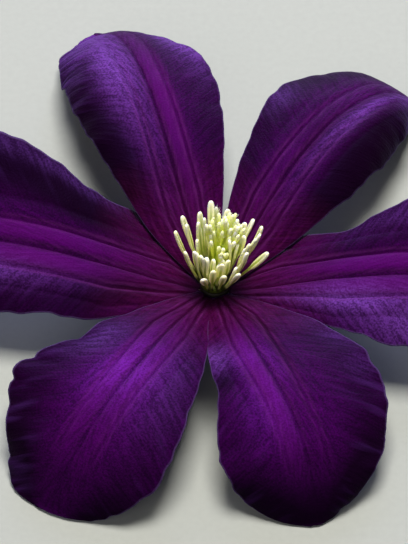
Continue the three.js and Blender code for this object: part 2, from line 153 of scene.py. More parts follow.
TEPALS = {
    "tepal_back_left": dict(
        length=71.5, lift=0, vein_gap=3.2, bar_reach=1.6, ridge_start=0.45, tip_shade=0.0,
        heading=[114, 105, 106, 110, 123], slope=[26, 19, 0, -27, -57], roll=[0, 0],
        left=half(
            [2.4, 7.4, 10.6, 13.4, 14.8, 13.9, 11.2, 9.5], [25, 38, 55, 10], 3, (0.4, 5, 0.1),
            crumple=1.1, bar=0.0, shade=0.9, flat=0.25,
            bloom=[(0.3, 0.7, 0.25, 0.26, 0.8), (0.5, 0.96, 0.6, 0.2, 0.95)],
            dark=[(0.9, 0.34, 0.45, 0.14, 0.6), (0.0, 0.3, 0.35, 0.14, 0.3)],
        ),
        right=half(
            [1.8, 6.4, 9.4, 11.9, 12.4, 9, 5.6, 3.5], [0, 10, 20, 30], 2.2, (0.5, 3, 0.3),
            crumple=0.3, bar=0.5, shade=0.5,
            bloom=[(0.92, 0.72, 0.3, 0.14, 0.8), (1.0, 0.92, 0.3, 0.15, 0.5)],
            dark=[(0.7, 0.4, 0.4, 0.12, 0.2), (0.0, 0.3, 0.35, 0.14, 0.3), (0.42, 0.66, 0.16, 0.16, 0.3)],
        ),
    ),
    "tepal_back_right": dict(
        length=63.5, lift=0, vein_gap=3.2, bar_reach=1.6, ridge_start=0.55, tip_shade=0.0,
        heading=[56, 58, 53, 46, 33], slope=[26, 18, 1, -26, -66], roll=[0, 0],
        left=half(
            [1.8, 5.4, 8.5, 11.4, 13.6, 11.9, 9.1, 6.5], [0, 10, 20, 30], 2.8, (0.4, 3, 0.6),
            crumple=0.3, bar=0.15, shade=0.75,
            bloom=[(0.88, 0.56, 0.22, 0.06, 0.3)], dark=[(0.0, 0.5, 0.3, 0.14, 0.45)],
        ),
        right=half(
            [2.4, 7.2, 10.5, 12.4, 12.7, 10.6, 7.2, 5], [25, 38, 65, 60], 2.4, (0.3, 4, 0.2),
            crumple=0.35, bar=0.0, shade=1.0, flat=0.25,
            bloom=[(0.2, 0.66, 0.09, 0.24, 0.6), (0.4, 0.97, 0.6, 0.12, 0.75)],
            dark=[(0.75, 0.6, 0.4, 0.25, 0.7), (0.0, 0.5, 0.3, 0.14, 0.45)],
        ),
    ),
    "tepal_left": dict(
        length=62, lift=-1.1, vein_gap=4.4, bar_reach=1.25, ridge_start=0.15, tip_shade=0.3,
        heading=[177, 177, 173, 167, 163], slope=[22, 21, 8, -20, -58], roll=[0, -4, -14, -12, 0],
        left=half(
            [2.2, 7.6, 11.4, 12.4, 13.2, 13.4, 12, 9], [20, 20, 15, 20], 2.4, (0.6, 3, 0),
            crumple=0.4, bar=0.6, shade=0.75,
            bloom=[(0.42, 0.78, 0.2, 0.3, 0.75)], dark=[(0.45, 0.2, 0.3, 0.15, 0.75)],
        ),
        right=half(
            [4.6, 13.4, 14.2, 17, 19.4, 19.2, 16, 11], [12, 12, -10, 20], 2.4, (0.6, 3, 0.4),
            crumple=0.5, bar=0.45, shade=1.0,
            bloom=[(0.93, 0.5, 0.1, 0.25, 0.3)], dark=[(0.5, 0.35, 0.2, 0.3, 0.4)],
        ),
    ),
    "tepal_right": dict(
        length=62, lift=-1.1, vein_gap=4.4, bar_reach=1.25, ridge_start=0.15, tip_shade=0.0,
        heading=[-6, -9, -6, 0, 7], slope=[22, 21, 8, -20, -58], roll=[0, 2, 10, 8, 0],
        left=half(
            [4.4, 10.8, 10.6, 13.2, 16.2, 17, 14.5, 9], [12, 8, -5, 20], 2.4, (0.5, 3, 0.7),
            crumple=0.5, bar=0.5, shade=0.6,
            bloom=[(0.85, 0.65, 0.2, 0.25, 0.35)], dark=[(0.5, 0.4, 0.15, 0.25, 0.3)],
        ),
        right=half(
            [2.2, 5.8, 9.6, 13, 13.8, 13.7, 12, 8], [20, 20, 15, 20], 2.4, (0.7, 3, 0.1),
            crumple=0.6, bar=0.5, shade=0.4,
            bloom=[(0.45, 0.35, 0.25, 0.2, 0.8), (0.7, 0.7, 0.35, 0.25, 1.0)],
        ),
    ),
    "tepal_front_left": dict(
        length=57, lift=0, vein_gap=3.4, bar_reach=1.7, ridge_start=0.25, tip_shade=0.5,
        heading=[237, 242, 239, 236, 240], slope=[22, 17, 2, -28, -60], roll=[0, 0],
        left=half(
            [2.0, 5.7, 9.3, 11.9, 14.4, 15.3, 13, 10], [10, 14, 20, 25], 3, (0.4, 3, 0.5),
            crumple=0.3, bar=0.3, shade=0.5, notches=[(0.93, 0.05), (0.965, 0.06)],
            bloom=[(0.6, 0.42, 0.35, 0.2, 0.15)], glow=[(0.1, 0.47, 0.35, 0.14, 0.5)],
        ),
        right=half(
            [2.0, 5.9, 10.3, 13.4, 18.8, 16.6, 12.6, 10], [0, 10, 15, 20], 4.2, (0.65, 6, 0.3),
            crumple=0.8, bar=0.4, shade=0.8, notches=[(0.56, 0.03), (0.67, 0.03), (0.9, 0.04)],
            bloom=[(0.7, 0.38, 0.25, 0.12, 0.35)], glow=[(0.15, 0.47, 0.22, 0.14, 0.65)],
            dark=[(0.4, 0.26, 0.1, 0.12, 0.5)],
        ),
    ),
    "tepal_front_right": dict(
        length=55, lift=0, vein_gap=3.4, bar_reach=1.7, ridge_start=0.25, tip_shade=1.0,
        heading=[292, 290, 292, 288, 276], slope=[22, 17, 2, -28, -64], roll=[0, 0],
        left=half(
            [2.0, 8.2, 13.8, 17.5, 18.1, 15.6, 11, 6], [0, 10, 20, 25], 2.2, (0.5, 5, 0),
            crumple=0.9, bar=0.1, shade=0.7, notches=[(0.96, 0.12)], glow=[(0.0, 0.36, 0.12, 0.14, 0.35)],
            bloom=[(0.95, 0.32, 0.2, 0.1, 0.25), (0.85, 0.5, 0.2, 0.06, 0.15)],
            dark=[(0.3, 0.16, 0.1, 0.14, 0.8), (0.24, 0.34, 0.08, 0.14, 0.6)],
        ),
        right=half(
            [2.0, 5.6, 8.4, 10, 13.4, 14.4, 12.6, 10], [0, 15, 25, 25], 2.8, (0.6, 4, 0.2),
            crumple=0.5, bar=0.5, shade=0.35,
            bloom=[(0.85, 0.31, 0.3, 0.06, 0.6)],
            glow=[(0.3, 0.36, 0.3, 0.1, 0.4), (0.25, 0.56, 0.35, 0.14, 0.3)],
            dark=[(0.85, 0.41, 0.3, 0.05, 0.6)],
        ),
    ),
}
print("tepals:", {name: f"{shape['length']} mm long" for name, shape in TEPALS.items()})

# %% [markdown]
# The curve through each list is a cubic between neighbouring values, with slopes taken from the
# values on either side. It goes through every value without the bulges of a curve that is only
# guided by its points.

# %% A smooth curve through a list of values
def smooth_through(stations, values, x):
    stations, values = np.array(stations, float), np.array(values, float)
    last = len(stations) - 1
    before = np.maximum(np.arange(last + 1) - 1, 0)
    after = np.minimum(np.arange(last + 1) + 1, last)
    slopes = (values[after] - values[before]) / (stations[after] - stations[before])
    i = np.clip(np.searchsorted(stations, x, side="right") - 1, 0, last - 1)
    span = stations[i + 1] - stations[i]
    t = np.clip((x - stations[i]) / span, 0, 1)
    rise = values[i + 1] - values[i]
    start, end = slopes[i] * span, slopes[i + 1] * span
    return values[i] + start * t + (3 * rise - 2 * start - end) * t**2 + (start + end - 2 * rise) * t**3


def smooth_even(values, x):
    return smooth_through(np.linspace(0, 1, len(values)), values, x)


print("half-way round a bend from 26 to -57 degrees:", smooth_even([26, 19, 0, -27, -57], 0.5))

# %% [markdown]
# The midrib is walked in many small steps, each in the direction that its heading and slope give.
# At every row of the blade it carries three directions: `out` along the midrib, `aside` to its left,
# and `up` away from the face.

# %% Walk the midrib
ROOT_RADIUS = 3.0
ROOT_OVERLAP = 0.5
MIDRIB_STEPS = 400


def along_midrib(shape, fractions):
    """Points of the midrib, and the directions aside and up, at these fractions of its length."""
    middles = (np.arange(MIDRIB_STEPS) + 0.5) / MIDRIB_STEPS

    def outwards(x):
        heading = np.radians(smooth_even(shape["heading"], x))
        slope = np.radians(smooth_even(shape["slope"], x))
        level = np.cos(slope)
        return np.stack([level * np.cos(heading), level * np.sin(heading), np.sin(slope)], -1)

    first = math.radians(shape["heading"][0])
    start = np.array([ROOT_RADIUS * math.cos(first), ROOT_RADIUS * math.sin(first), shape["lift"]])
    steps = outwards(middles) * shape["length"] / MIDRIB_STEPS
    walked = start + np.vstack([np.zeros(3), np.cumsum(steps, 0)])
    stations = np.linspace(0, 1, MIDRIB_STEPS + 1)
    points = np.stack([np.interp(fractions, stations, walked[:, axis]) for axis in range(3)], -1)
    points += np.minimum(fractions, 0)[:, None] * shape["length"] * outwards(np.array([0.0]))
    out = outwards(np.clip(fractions, 0, 1))
    level = np.stack([-out[:, 1], out[:, 0], np.zeros(len(out))], -1)
    level /= np.linalg.norm(level, axis=1)[:, None]
    roll = np.radians(smooth_even(shape["roll"], np.clip(fractions, 0, 1)))[:, None]
    aside = level * np.cos(roll) + np.cross(out, level) * np.sin(roll)
    return points, aside, np.cross(out, aside)


tip = along_midrib(TEPALS["tepal_back_left"], np.array([1.0]))[0][0]
print("back left tip from the axis, in mm:", np.round(tip, 1))

# %% [markdown]
# Across the midrib, each half bends down in a circular arc, waves towards its margin, and has a
# slightly uneven edge: real margins are never cut with a compass. The unevenness is a sum of a few
# sine waves with seeded phases, so the same flower comes out every time. A groove line is wanted
# exactly on the midrib and on the side veins, so the columns are counted out from those lines.

# %% One half of the blade
TIP_ROUNDING_START = 0.8
WIDEST_VEIN_SHARE = 0.42
WAVE_FROM, WAVE_FULL = 0.15, 0.4
NOTCH_WIDTH = 0.012
EDGE_WAVELENGTHS = [11.0, 6.3, 3.7]
EDGE_UNEVENNESS = [0.008, 0.007, 0.005]
RIPPLE_WAVELENGTHS = [9.0, 5.2]
RIPPLE_HEIGHTS = [0.28, 0.18]
CRUMPLE_RISE, CRUMPLE_FALL = (0, 0.5), (1, 0.95)
BAR_INNER_EDGE, BAR_OUTER_EDGE = (0, 0.45), 0.7
BAR_RISE, BAR_FALL, BAR_LOSS = (0.05, 0.4), (0.5, 0.9), 0.85
# Where the painted shade lies: towards the margin, away from the root, and at the tip, as the blade turns
# from the light
SHADE_ACROSS, SHADE_ALONG, TIP_SHADE = (0.2, 0.8), (0.05, 0.35), (0.68, 0.97)
INNER_COLUMNS, OUTER_COLUMNS = 12, 34
LEAST, LEAST_DROOP = 1e-6, 1e-3


def sine_sum(distance, wavelengths, heights, rng):
    total = np.zeros_like(distance)
    for wavelength, height in zip(wavelengths, heights):
        total += height * np.sin(2 * np.pi * (distance / wavelength + rng.random()))
    return total


def smooth_step(x, start, end):
    t = np.clip((x - start) / (end - start), 0, 1)
    return t * t * (3 - 2 * t)


def half_look(side, shape, inside, share, vein):
    """How crumpled one half is, how bright its bar is and how much painted shade it has, and its painted
    sheen and painted light.
    """
    along = inside[:, None]
    relative = share / vein
    bar = smooth_step(relative, *BAR_INNER_EDGE) * smooth_step(relative, shape["bar_reach"], BAR_OUTER_EDGE)
    fading = smooth_step(along, *BAR_RISE) * (1 - BAR_LOSS * smooth_step(along, *BAR_FALL))
    # Patches of painted sheen, painted light and painted shadow, each a soft round spot
    patches = {}
    for kind in ("bloom", "glow", "dark"):
        patches[kind] = np.zeros_like(share)
        for place_across, place_along, wide, long, strength in side[kind]:
            offset = ((share - place_across) / wide) ** 2 + ((along - place_along) / long) ** 2
            patches[kind] = np.maximum(patches[kind], strength * np.exp(-offset))
    # Painted shade: the half darkens towards its margin and its tip, where it turns away from the light
    shade = side["shade"] * smooth_step(share, *SHADE_ACROSS) * smooth_step(along, *SHADE_ALONG)
    shade = shade + patches["dark"] + shape["tip_shade"] * smooth_step(along, *TIP_SHADE)
    look = [np.full_like(share, side["crumple"]), side["bar"] * bar * fading, np.clip(shade, 0, 1)]
    return np.stack(look, -1), np.stack([patches["bloom"], patches["glow"]], -1)


def half_blade(side, shape, fractions, rng):
    """One half's offsets aside and up for each row and column, which way it faces, and its look."""
    # The outline: the half-width, rounded at the tip, uneven, and notched
    inside = np.clip(fractions, 0, 1)
    distance = inside * shape["length"]
    beyond = np.clip((inside - TIP_ROUNDING_START) / (1 - TIP_ROUNDING_START), 0, 1)
    rounding = (1 - beyond ** side["blunt"]) ** (1 / side["blunt"])
    width = smooth_through(WIDTH_STATIONS, side["widths"], inside) * rounding
    fade = np.clip((inside - WAVE_FROM) / (WAVE_FULL - WAVE_FROM), 0, 1)
    width = width * (1 + fade * sine_sum(distance, EDGE_WAVELENGTHS, EDGE_UNEVENNESS, rng))
    for place, depth in side["notches"]:
        width = width * (1 - depth * np.exp(-(((inside - place) / NOTCH_WIDTH) ** 2)))
    # The columns, as shares of the half-width, with one exactly on the side vein
    vein = np.minimum(shape["vein_gap"] / np.maximum(width, LEAST), WIDEST_VEIN_SHARE)[:, None]
    inner = vein * np.arange(1, INNER_COLUMNS + 1) / INNER_COLUMNS
    outer = vein + (1 - vein) * np.arange(1, OUTER_COLUMNS + 1) / OUTER_COLUMNS
    share = np.hstack([inner, outer])
    # The arc, which starts where the flat part of the half ends
    droop = np.radians(smooth_even(side["droop"], inside))[:, None]
    droop = np.where(np.abs(droop) < LEAST_DROOP, LEAST_DROOP, droop)
    reach = 1 - side["flat"]
    bent = np.maximum(0, (share - side["flat"]) / reach)
    aside = np.where(bent > 0, side["flat"] + reach / droop * np.sin(droop * bent), share)
    down = reach / droop * (1 - np.cos(droop * bent))
    # The waves of the margin and the finer ripples on them
    height, count, phase = side["wave"]
    margin = (height * np.sin(2 * np.pi * (count * inside + phase)) * fade)[:, None] * share**3
    ripple = (fade * sine_sum(distance, RIPPLE_WAVELENGTHS, RIPPLE_HEIGHTS, rng))[:, None] * share**4
    grown = smooth_step(inside, *CRUMPLE_RISE) * smooth_step(inside, *CRUMPLE_FALL)
    up = margin + side["crumple"] * ripple * grown[:, None] - width[:, None] * down
    look, bloom = half_look(side, shape, inside, share, vein)
    return dict(
        aside=width[:, None] * aside, up=up, lean=droop * bent, share=share, width=width,
        vein=vein[:, 0] * width, look=look, bloom=bloom,
    )


print("columns across a blade:", 2 * (INNER_COLUMNS + OUTER_COLUMNS) + 1)

# %% [markdown]
# The two halves and the midrib are put together as one open sheet, whose last row at the tip is
# almost a point. The tips lie on the table, so points that would sink below it are eased up until
# the sheet curls along it.
#
# Five attributes go with the sheet for everything that follows the blade later. `share` holds how far
# across and how far along a point is, from 0 to 1. `place` holds the same in millimetres, and how
# far out the side vein runs there. `face` is the direction that the blade faces. `look` holds how
# crumpled it is, how bright its bar is and how much painted shade it has, and the last one holds the
# strength of two kinds of painted light: a pale painted sheen and a violet painted glow of light.

# %% Build the sheet
ROWS = 220
TIP_CROWDING = 1.6
LOWEST_SHEET = 0.3
EASING = 0.3


def mesh_object(name, points, faces, attributes=None):
    """A mesh object at the origin, with vector attributes on its points."""
    mesh = bpy.data.meshes.new(name)
    mesh.from_pydata([tuple(p) for p in points], [], faces)
    for key, values in (attributes or {}).items():
        layer = mesh.attributes.new(key, "FLOAT_VECTOR", "POINT")
        layer.data.foreach_set("vector", np.asarray(values, np.float32).ravel())
    mesh.update()
    piece = bpy.data.objects.new(name, mesh)
    bpy.context.scene.collection.objects.link(piece)
    return piece


def tepal_sheet(name, shape, rng):
    """The middle surface of a tepal as an open sheet, in metres, in the frame."""
    root = -ROOT_OVERLAP / shape["length"]
    steps = np.arange(ROWS) / ROWS
    fractions = root + (1 - root) * (1 - (1 - steps) ** TIP_CROWDING)
    points, aside, up = [values[:, None] for values in along_midrib(shape, fractions)]
    column = fractions[:, None]
    zero = np.zeros_like(column)
    right, left = [half_blade(shape[key], shape, fractions, rng) for key in ("right", "left")]
    halves = []
    for sign, part in ((-1, right), (1, left)):
        lean = part["lean"][..., None]
        along = np.broadcast_to(column, part["share"].shape)
        vein = np.broadcast_to(part["vein"][:, None], along.shape)
        distance = sign * part["share"] * part["width"][:, None]
        halves.append(dict(
            points=points + (sign * part["aside"][..., None] * aside + part["up"][..., None] * up),
            share=np.stack([sign * part["share"], along, np.zeros_like(along)], -1),
            place=np.stack([distance, along * shape["length"], vein], -1),
            face=up * np.cos(lean) + sign * aside * np.sin(lean),
            look=part["look"],
            bloom=np.dstack([part["bloom"], np.zeros_like(along)]),
        ))
    first, second = halves
    middle = dict(
        points=points,
        share=np.stack([zero, column, zero], -1),
        place=np.stack([zero, column * shape["length"], right["vein"][:, None]], -1),
        face=up,
        look=np.stack([zero, zero, right["look"][:, :1, 2]], -1),
        bloom=(first["bloom"][:, :1] + second["bloom"][:, :1]) / 2,
    )
    layers = {}
    for key in middle:
        rows = [first[key][:, ::-1], middle[key], second[key]]
        layers[key] = np.concatenate(rows, 1).reshape(-1, 3)
    points = layers.pop("points") * MM + np.array(ATTACHMENT)
    lowest, ease = LOWEST_SHEET * MM, EASING * MM
    points[:, 2] = lowest + ease * np.logaddexp(0, (points[:, 2] - lowest) / ease)
    columns = 2 * (INNER_COLUMNS + OUTER_COLUMNS) + 1
    i, j = np.meshgrid(np.arange(ROWS - 1), np.arange(columns - 1), indexing="ij")
    corner = (i * columns + j).ravel()
    faces = np.stack([corner, corner + columns, corner + columns + 1, corner + 1], -1).tolist()
    return mesh_object(name, points, faces, layers)


SHEET_SEED = 4
rng = np.random.default_rng(SHEET_SEED)
sheets = {name: tepal_sheet(name + "_skin", shape, rng) for name, shape in TEPALS.items()}
print("points in each sheet:", len(sheets["tepal_left"].data.vertices))

# %% [markdown]
# ## From a sheet to a living blade
# A tepal's face is pressed in along its three veins, and between them and the margin the tissue
# stands up in fine slanting ridges, one for each small side vein. This relief follows a rule over
# the whole sheet, so Geometry Nodes make it: the same tree serves all six tepals, and each has its
# own settings.
#
# A tree is only as useful as its inputs, so a helper makes the tree with its named inputs, and
# another runs it on an object, keeps the resulting mesh and takes the modifier off again.

# %% Make a tree with named inputs, and run it
def new_tree(name, **labels):
    """A geometry tree, its input sockets, and add_node for it. labels lists the inputs of a kind."""
    tree = bpy.data.node_groups.new(name, "GeometryNodeTree")
    tree.is_modifier = True
    for kind, names in dict(Geometry=["Geometry"], Material=["Material"], **labels).items():
        for label in names:
            tree.interface.new_socket(label, in_out="INPUT", socket_type="NodeSocket" + kind)
    tree.interface.new_socket("Geometry", in_out="OUTPUT", socket_type="NodeSocketGeometry")
    given = tree.nodes.new("NodeGroupInput")
    return tree, given.outputs, partial(add_node, tree)


def run_tree(piece, tree, settings):
    """Replaces the piece's mesh with what the tree makes of it."""
    modifier = piece.modifiers.new(tree.name, "NODES")
    modifier.node_group = tree
    sockets = [s for s in tree.interface.items_tree if s.in_out == "INPUT"]
    for label, value in settings.items():
        modifier[next(s.identifier for s in sockets if s.name == label)] = value
    graph = bpy.context.evaluated_depsgraph_get()
    piece.data = bpy.data.meshes.new_from_object(
        piece.evaluated_get(graph), preserve_all_data_layers=True, depsgraph=graph
    )
    piece.modifiers.remove(modifier)


print("helpers ready")

# %% [markdown]
# The relief has four parts, all in millimetres: three grooves along the veins, a pair of shallower
# ones further out, slanting ridges that grow towards the margin, and a slow unevenness. The ridges
# are a noise texture in slanted coordinates, stretched along the direction that side veins take.
#
# Thickness comes last. The sheet is pushed up by half of it, and its underside is extruded from it,
# flipped to face outwards, and welded on at the rim. The blade is thinner at the margin, and what
# is a groove above becomes a rib below, as on the real one. The tree leaves the height of the ridges
# behind as `crest`, and marks the underside in the third value of `share`, for the material to read.

# %% The blade tree
RIDGE_SLANT = 0.62
# The noise of the ridges changes fully in some 9 mm across the blade, and the unevenness in some 8 mm
RIDGE_CHANGE_ACROSS = 0.11
BUMP_CHANGE = 0.13
FAINT_VEIN_PLACE = 1.9
RIM_THINNING = 0.7


def blade_tree():
    tree, given, add = new_tree(
        "Veined blade",
        Float=[
            "Thickness", "Groove Depth", "Groove Width", "Ridge Height", "Ridge Spacing", "Ridge Start",
            "Unevenness", "Seed",
        ],
    )
    share, place, look, face = [
        add("GeometryNodeInputNamedAttribute", {0: label}, data_type="FLOAT_VECTOR")
        for label in ("share", "place", "look", "face")
    ]
    shares, places, looks = [
        add("ShaderNodeSeparateXYZ", {0: layer}).outputs for layer in (share, place, look)
    ]
    distance, across = [
        add("ShaderNodeMath", {0: signed["X"]}, operation="ABSOLUTE") for signed in (places, shares)
    ]

    # Grooves: sharp at the bottom, so that each shows as a line
    depth = 0.0
    faint = add("ShaderNodeMath", {0: places["Z"], 1: FAINT_VEIN_PLACE}, operation="MULTIPLY")
    for line, strength in ((0.0, 1.0), (places["Z"], 0.85), (faint, 0.35)):
        off = add("ShaderNodeMath", {0: distance, 1: line}, operation="SUBTRACT")
        off = add("ShaderNodeMath", {0: off}, operation="ABSOLUTE")
        off = add("ShaderNodeMath", {0: off, 1: given["Groove Width"]}, operation="DIVIDE")
        off = add("ShaderNodeMath", {0: off, 1: -1.0}, operation="MULTIPLY")
        press = add("ShaderNodeMath", {0: off}, operation="EXPONENT")
        depth = add("ShaderNodeMath", {0: press, 1: strength, 2: depth}, operation="MULTIPLY_ADD")
    near_root = add("ShaderNodeMapRange", {"Value": shares["Y"], "From Max": 0.12})
    near_tip = add("ShaderNodeMapRange", {"Value": shares["Y"], "From Min": 0.97, "From Max": 0.45})
    fade = add("ShaderNodeMath", {0: near_root, 1: near_tip}, operation="MULTIPLY")
    for factor in (fade, given["Groove Depth"]):
        depth = add("ShaderNodeMath", {0: depth, 1: factor}, operation="MULTIPLY")

    # Ridges: noise that changes quickly along the blade and slowly along the side veins
    slant = add("ShaderNodeMath", {0: distance, 1: -RIDGE_SLANT, 2: places["Y"]}, operation="MULTIPLY_ADD")
    quick = add("ShaderNodeMath", {0: slant, 1: given["Ridge Spacing"]}, operation="DIVIDE")
    slow = add("ShaderNodeMath", {0: places["X"], 1: RIDGE_CHANGE_ACROSS}, operation="MULTIPLY")
    spot = add("ShaderNodeCombineXYZ", {0: quick, 1: slow, 2: given["Seed"]})
    crests = add("ShaderNodeTexNoise", {"Vector": spot, "Scale": 1.0, "Detail": 1.5})
    crests = add("ShaderNodeMath", {0: crests, 1: 0.5}, operation="SUBTRACT")
    outer = add(
        "ShaderNodeMapRange", {"Value": across, "From Min": 0.2, "From Max": 0.95},
        interpolation_type="SMOOTHSTEP",
    )
    start = given["Ridge Start"]
    grown = add("ShaderNodeMapRange", {"Value": shares["Y"], "From Min": start, "From Max": 0.75})
    for factor in (outer, grown, looks["X"]):
        crests = add("ShaderNodeMath", {0: crests, 1: factor}, operation="MULTIPLY")
    ridges = add("ShaderNodeMath", {0: crests, 1: given["Ridge Height"]}, operation="MULTIPLY")

    # A slow unevenness all over, as of a sheet that grew folded in its bud
    spot = add("ShaderNodeVectorMath", {0: place, "Scale": BUMP_CHANGE}, operation="SCALE")
    moved = add("ShaderNodeCombineXYZ", {2: given["Seed"]})
    spot = add("ShaderNodeVectorMath", {0: spot, 1: moved})
    bumps = add("ShaderNodeTexNoise", {"Vector": spot, "Scale": 1.0, "Detail": 2.0})
    bumps = add("ShaderNodeMath", {0: bumps, 1: 0.5}, operation="SUBTRACT")
    for factor in (given["Unevenness"], near_root):
        bumps = add("ShaderNodeMath", {0: bumps, 1: factor}, operation="MULTIPLY")
    relief = add("ShaderNodeMath", {0: ridges, 1: bumps}, operation="ADD")
    relief = add("ShaderNodeMath", {0: relief, 1: depth}, operation="SUBTRACT")

    # Thickness, in metres, thinner at the margin
    thin = add("ShaderNodeMath", {0: across, 1: 8.0}, operation="POWER")
    thin = add("ShaderNodeMath", {0: thin, 1: -RIM_THINNING, 2: 1.0}, operation="MULTIPLY_ADD")
    thick = add("ShaderNodeMath", {0: thin, 1: given["Thickness"]}, operation="MULTIPLY")
    raised = add("ShaderNodeMath", {0: relief, 1: MM}, operation="MULTIPLY")
    raised = add("ShaderNodeMath", {0: thick, 1: 0.5, 2: raised}, operation="MULTIPLY_ADD")
    offset = add("ShaderNodeVectorMath", {0: face, "Scale": raised}, operation="SCALE")
    upper = add(
        "GeometryNodeStoreNamedAttribute",
        {"Geometry": given["Geometry"], "Name": "crest", "Value": crests}, data_type="FLOAT", domain="POINT",
    )
    upper = add("GeometryNodeSetPosition", {"Geometry": upper, "Offset": offset})
    drop = add("ShaderNodeMath", {0: thick, 1: -1.0}, operation="MULTIPLY")
    under = add(
        "GeometryNodeExtrudeMesh",
        {"Mesh": upper, "Offset": face, "Offset Scale": drop, "Individual": False}, mode="FACES",
    )
    marked = add("ShaderNodeVectorMath", {0: share, 1: (0.0, 0.0, 1.0)})
    under = add(
        "GeometryNodeStoreNamedAttribute",
        {"Geometry": under, "Selection": under.outputs["Top"], "Name": "share", "Value": marked},
        data_type="FLOAT_VECTOR", domain="POINT",
    )
    under = add("GeometryNodeFlipFaces", {"Mesh": under})
    both = add("GeometryNodeJoinGeometry", {"Geometry": [upper, under]})
    both = add("GeometryNodeMergeByDistance", {"Geometry": both, "Distance": 1e-7})
    both = add("GeometryNodeSetShadeSmooth", {"Geometry": both})
    both = add("GeometryNodeSetMaterial", {"Geometry": both, "Material": given["Material"]})
    add("NodeGroupOutput", {0: both})
    return tree


blade = blade_tree()
print("nodes in the blade tree:", len(blade.nodes))

# %% [markdown]
# ## The velvet of a tepal
# The upper face is covered with tiny rounded cells that catch light at a glancing angle, so a dark
# violet blade shows a lavender bloom along its crests and rims. A glossy coat would look like
# plastic. A sheen layer over a fairly rough violet base is what velvet has, and fits here as well.
#
# The colour follows the blade, so the pattern reads the sheet's own attributes: a magenta bar on
# each side of the midrib that is strongest near the root, patches of painted light, painted sheen and
# painted shade, dark vein lines in the grooves that are partly painted shade, painted highlights on
# the crests and along the grooves' shoulders, painted shade in the hollows and at the root, fine
# fibres along the side veins, and a thin painted highlight along the rim. The underside is paler and
# duller, with a grey bar.

# %% Velvety tepal skin
VIOLET_DEEP = "#20032a"
VIOLET_LIT = "#3c024c"
MAGENTA_BAR = "#520862"
WINE_ROOT = "#32041c"
# The veins' own dark colour, also used as painted shade in the grooves and at the root
VEIN_AND_SHADE_DARK = "#16010e"
# Painted shade, for margins and tips that turn from the light and for the hollows
PAINTED_SHADE = "#100214"
# A painted highlight, for the thin rim where light grazes the margin
RIM_HIGHLIGHT = "#584474"
# A painted violet light, for the middle of the blade where it faces the light
PAINTED_LIGHT_VIOLET = "#661a94"
# A painted lavender sheen, for the patches and the ridge crests that would catch the light
PAINTED_SHEEN_LAVENDER = "#683896"
ROOT_STREAK = "#460b34"
# A painted highlight along the shoulders of the grooves
SHOULDER_HIGHLIGHT_PINK = "#5c2262"
UNDER_SKIN = "#574078"
UNDER_BAR = "#8f8499"
SHEEN_LAVENDER = "#8028ec"
GLOSS_VIOLET = "#7430d0"
SIDE_FIBRE_SPACING, SIDE_FIBRE_LENGTH = 0.8, 5.0
MID_FIBRE_SPACING, MID_FIBRE_LENGTH = 0.6, 4.0
MID_DRIFT = 0.18
DRAWN_GRAIN = 0.35 * MM
FIBRE_RELIEF = 0.3 * MM


def new_material(name):
    """An empty material, and add_node for its tree."""
    material = bpy.data.materials.new(name)
    material.use_nodes = True
    material.node_tree.nodes.clear()
    return material, partial(add_node, material.node_tree)


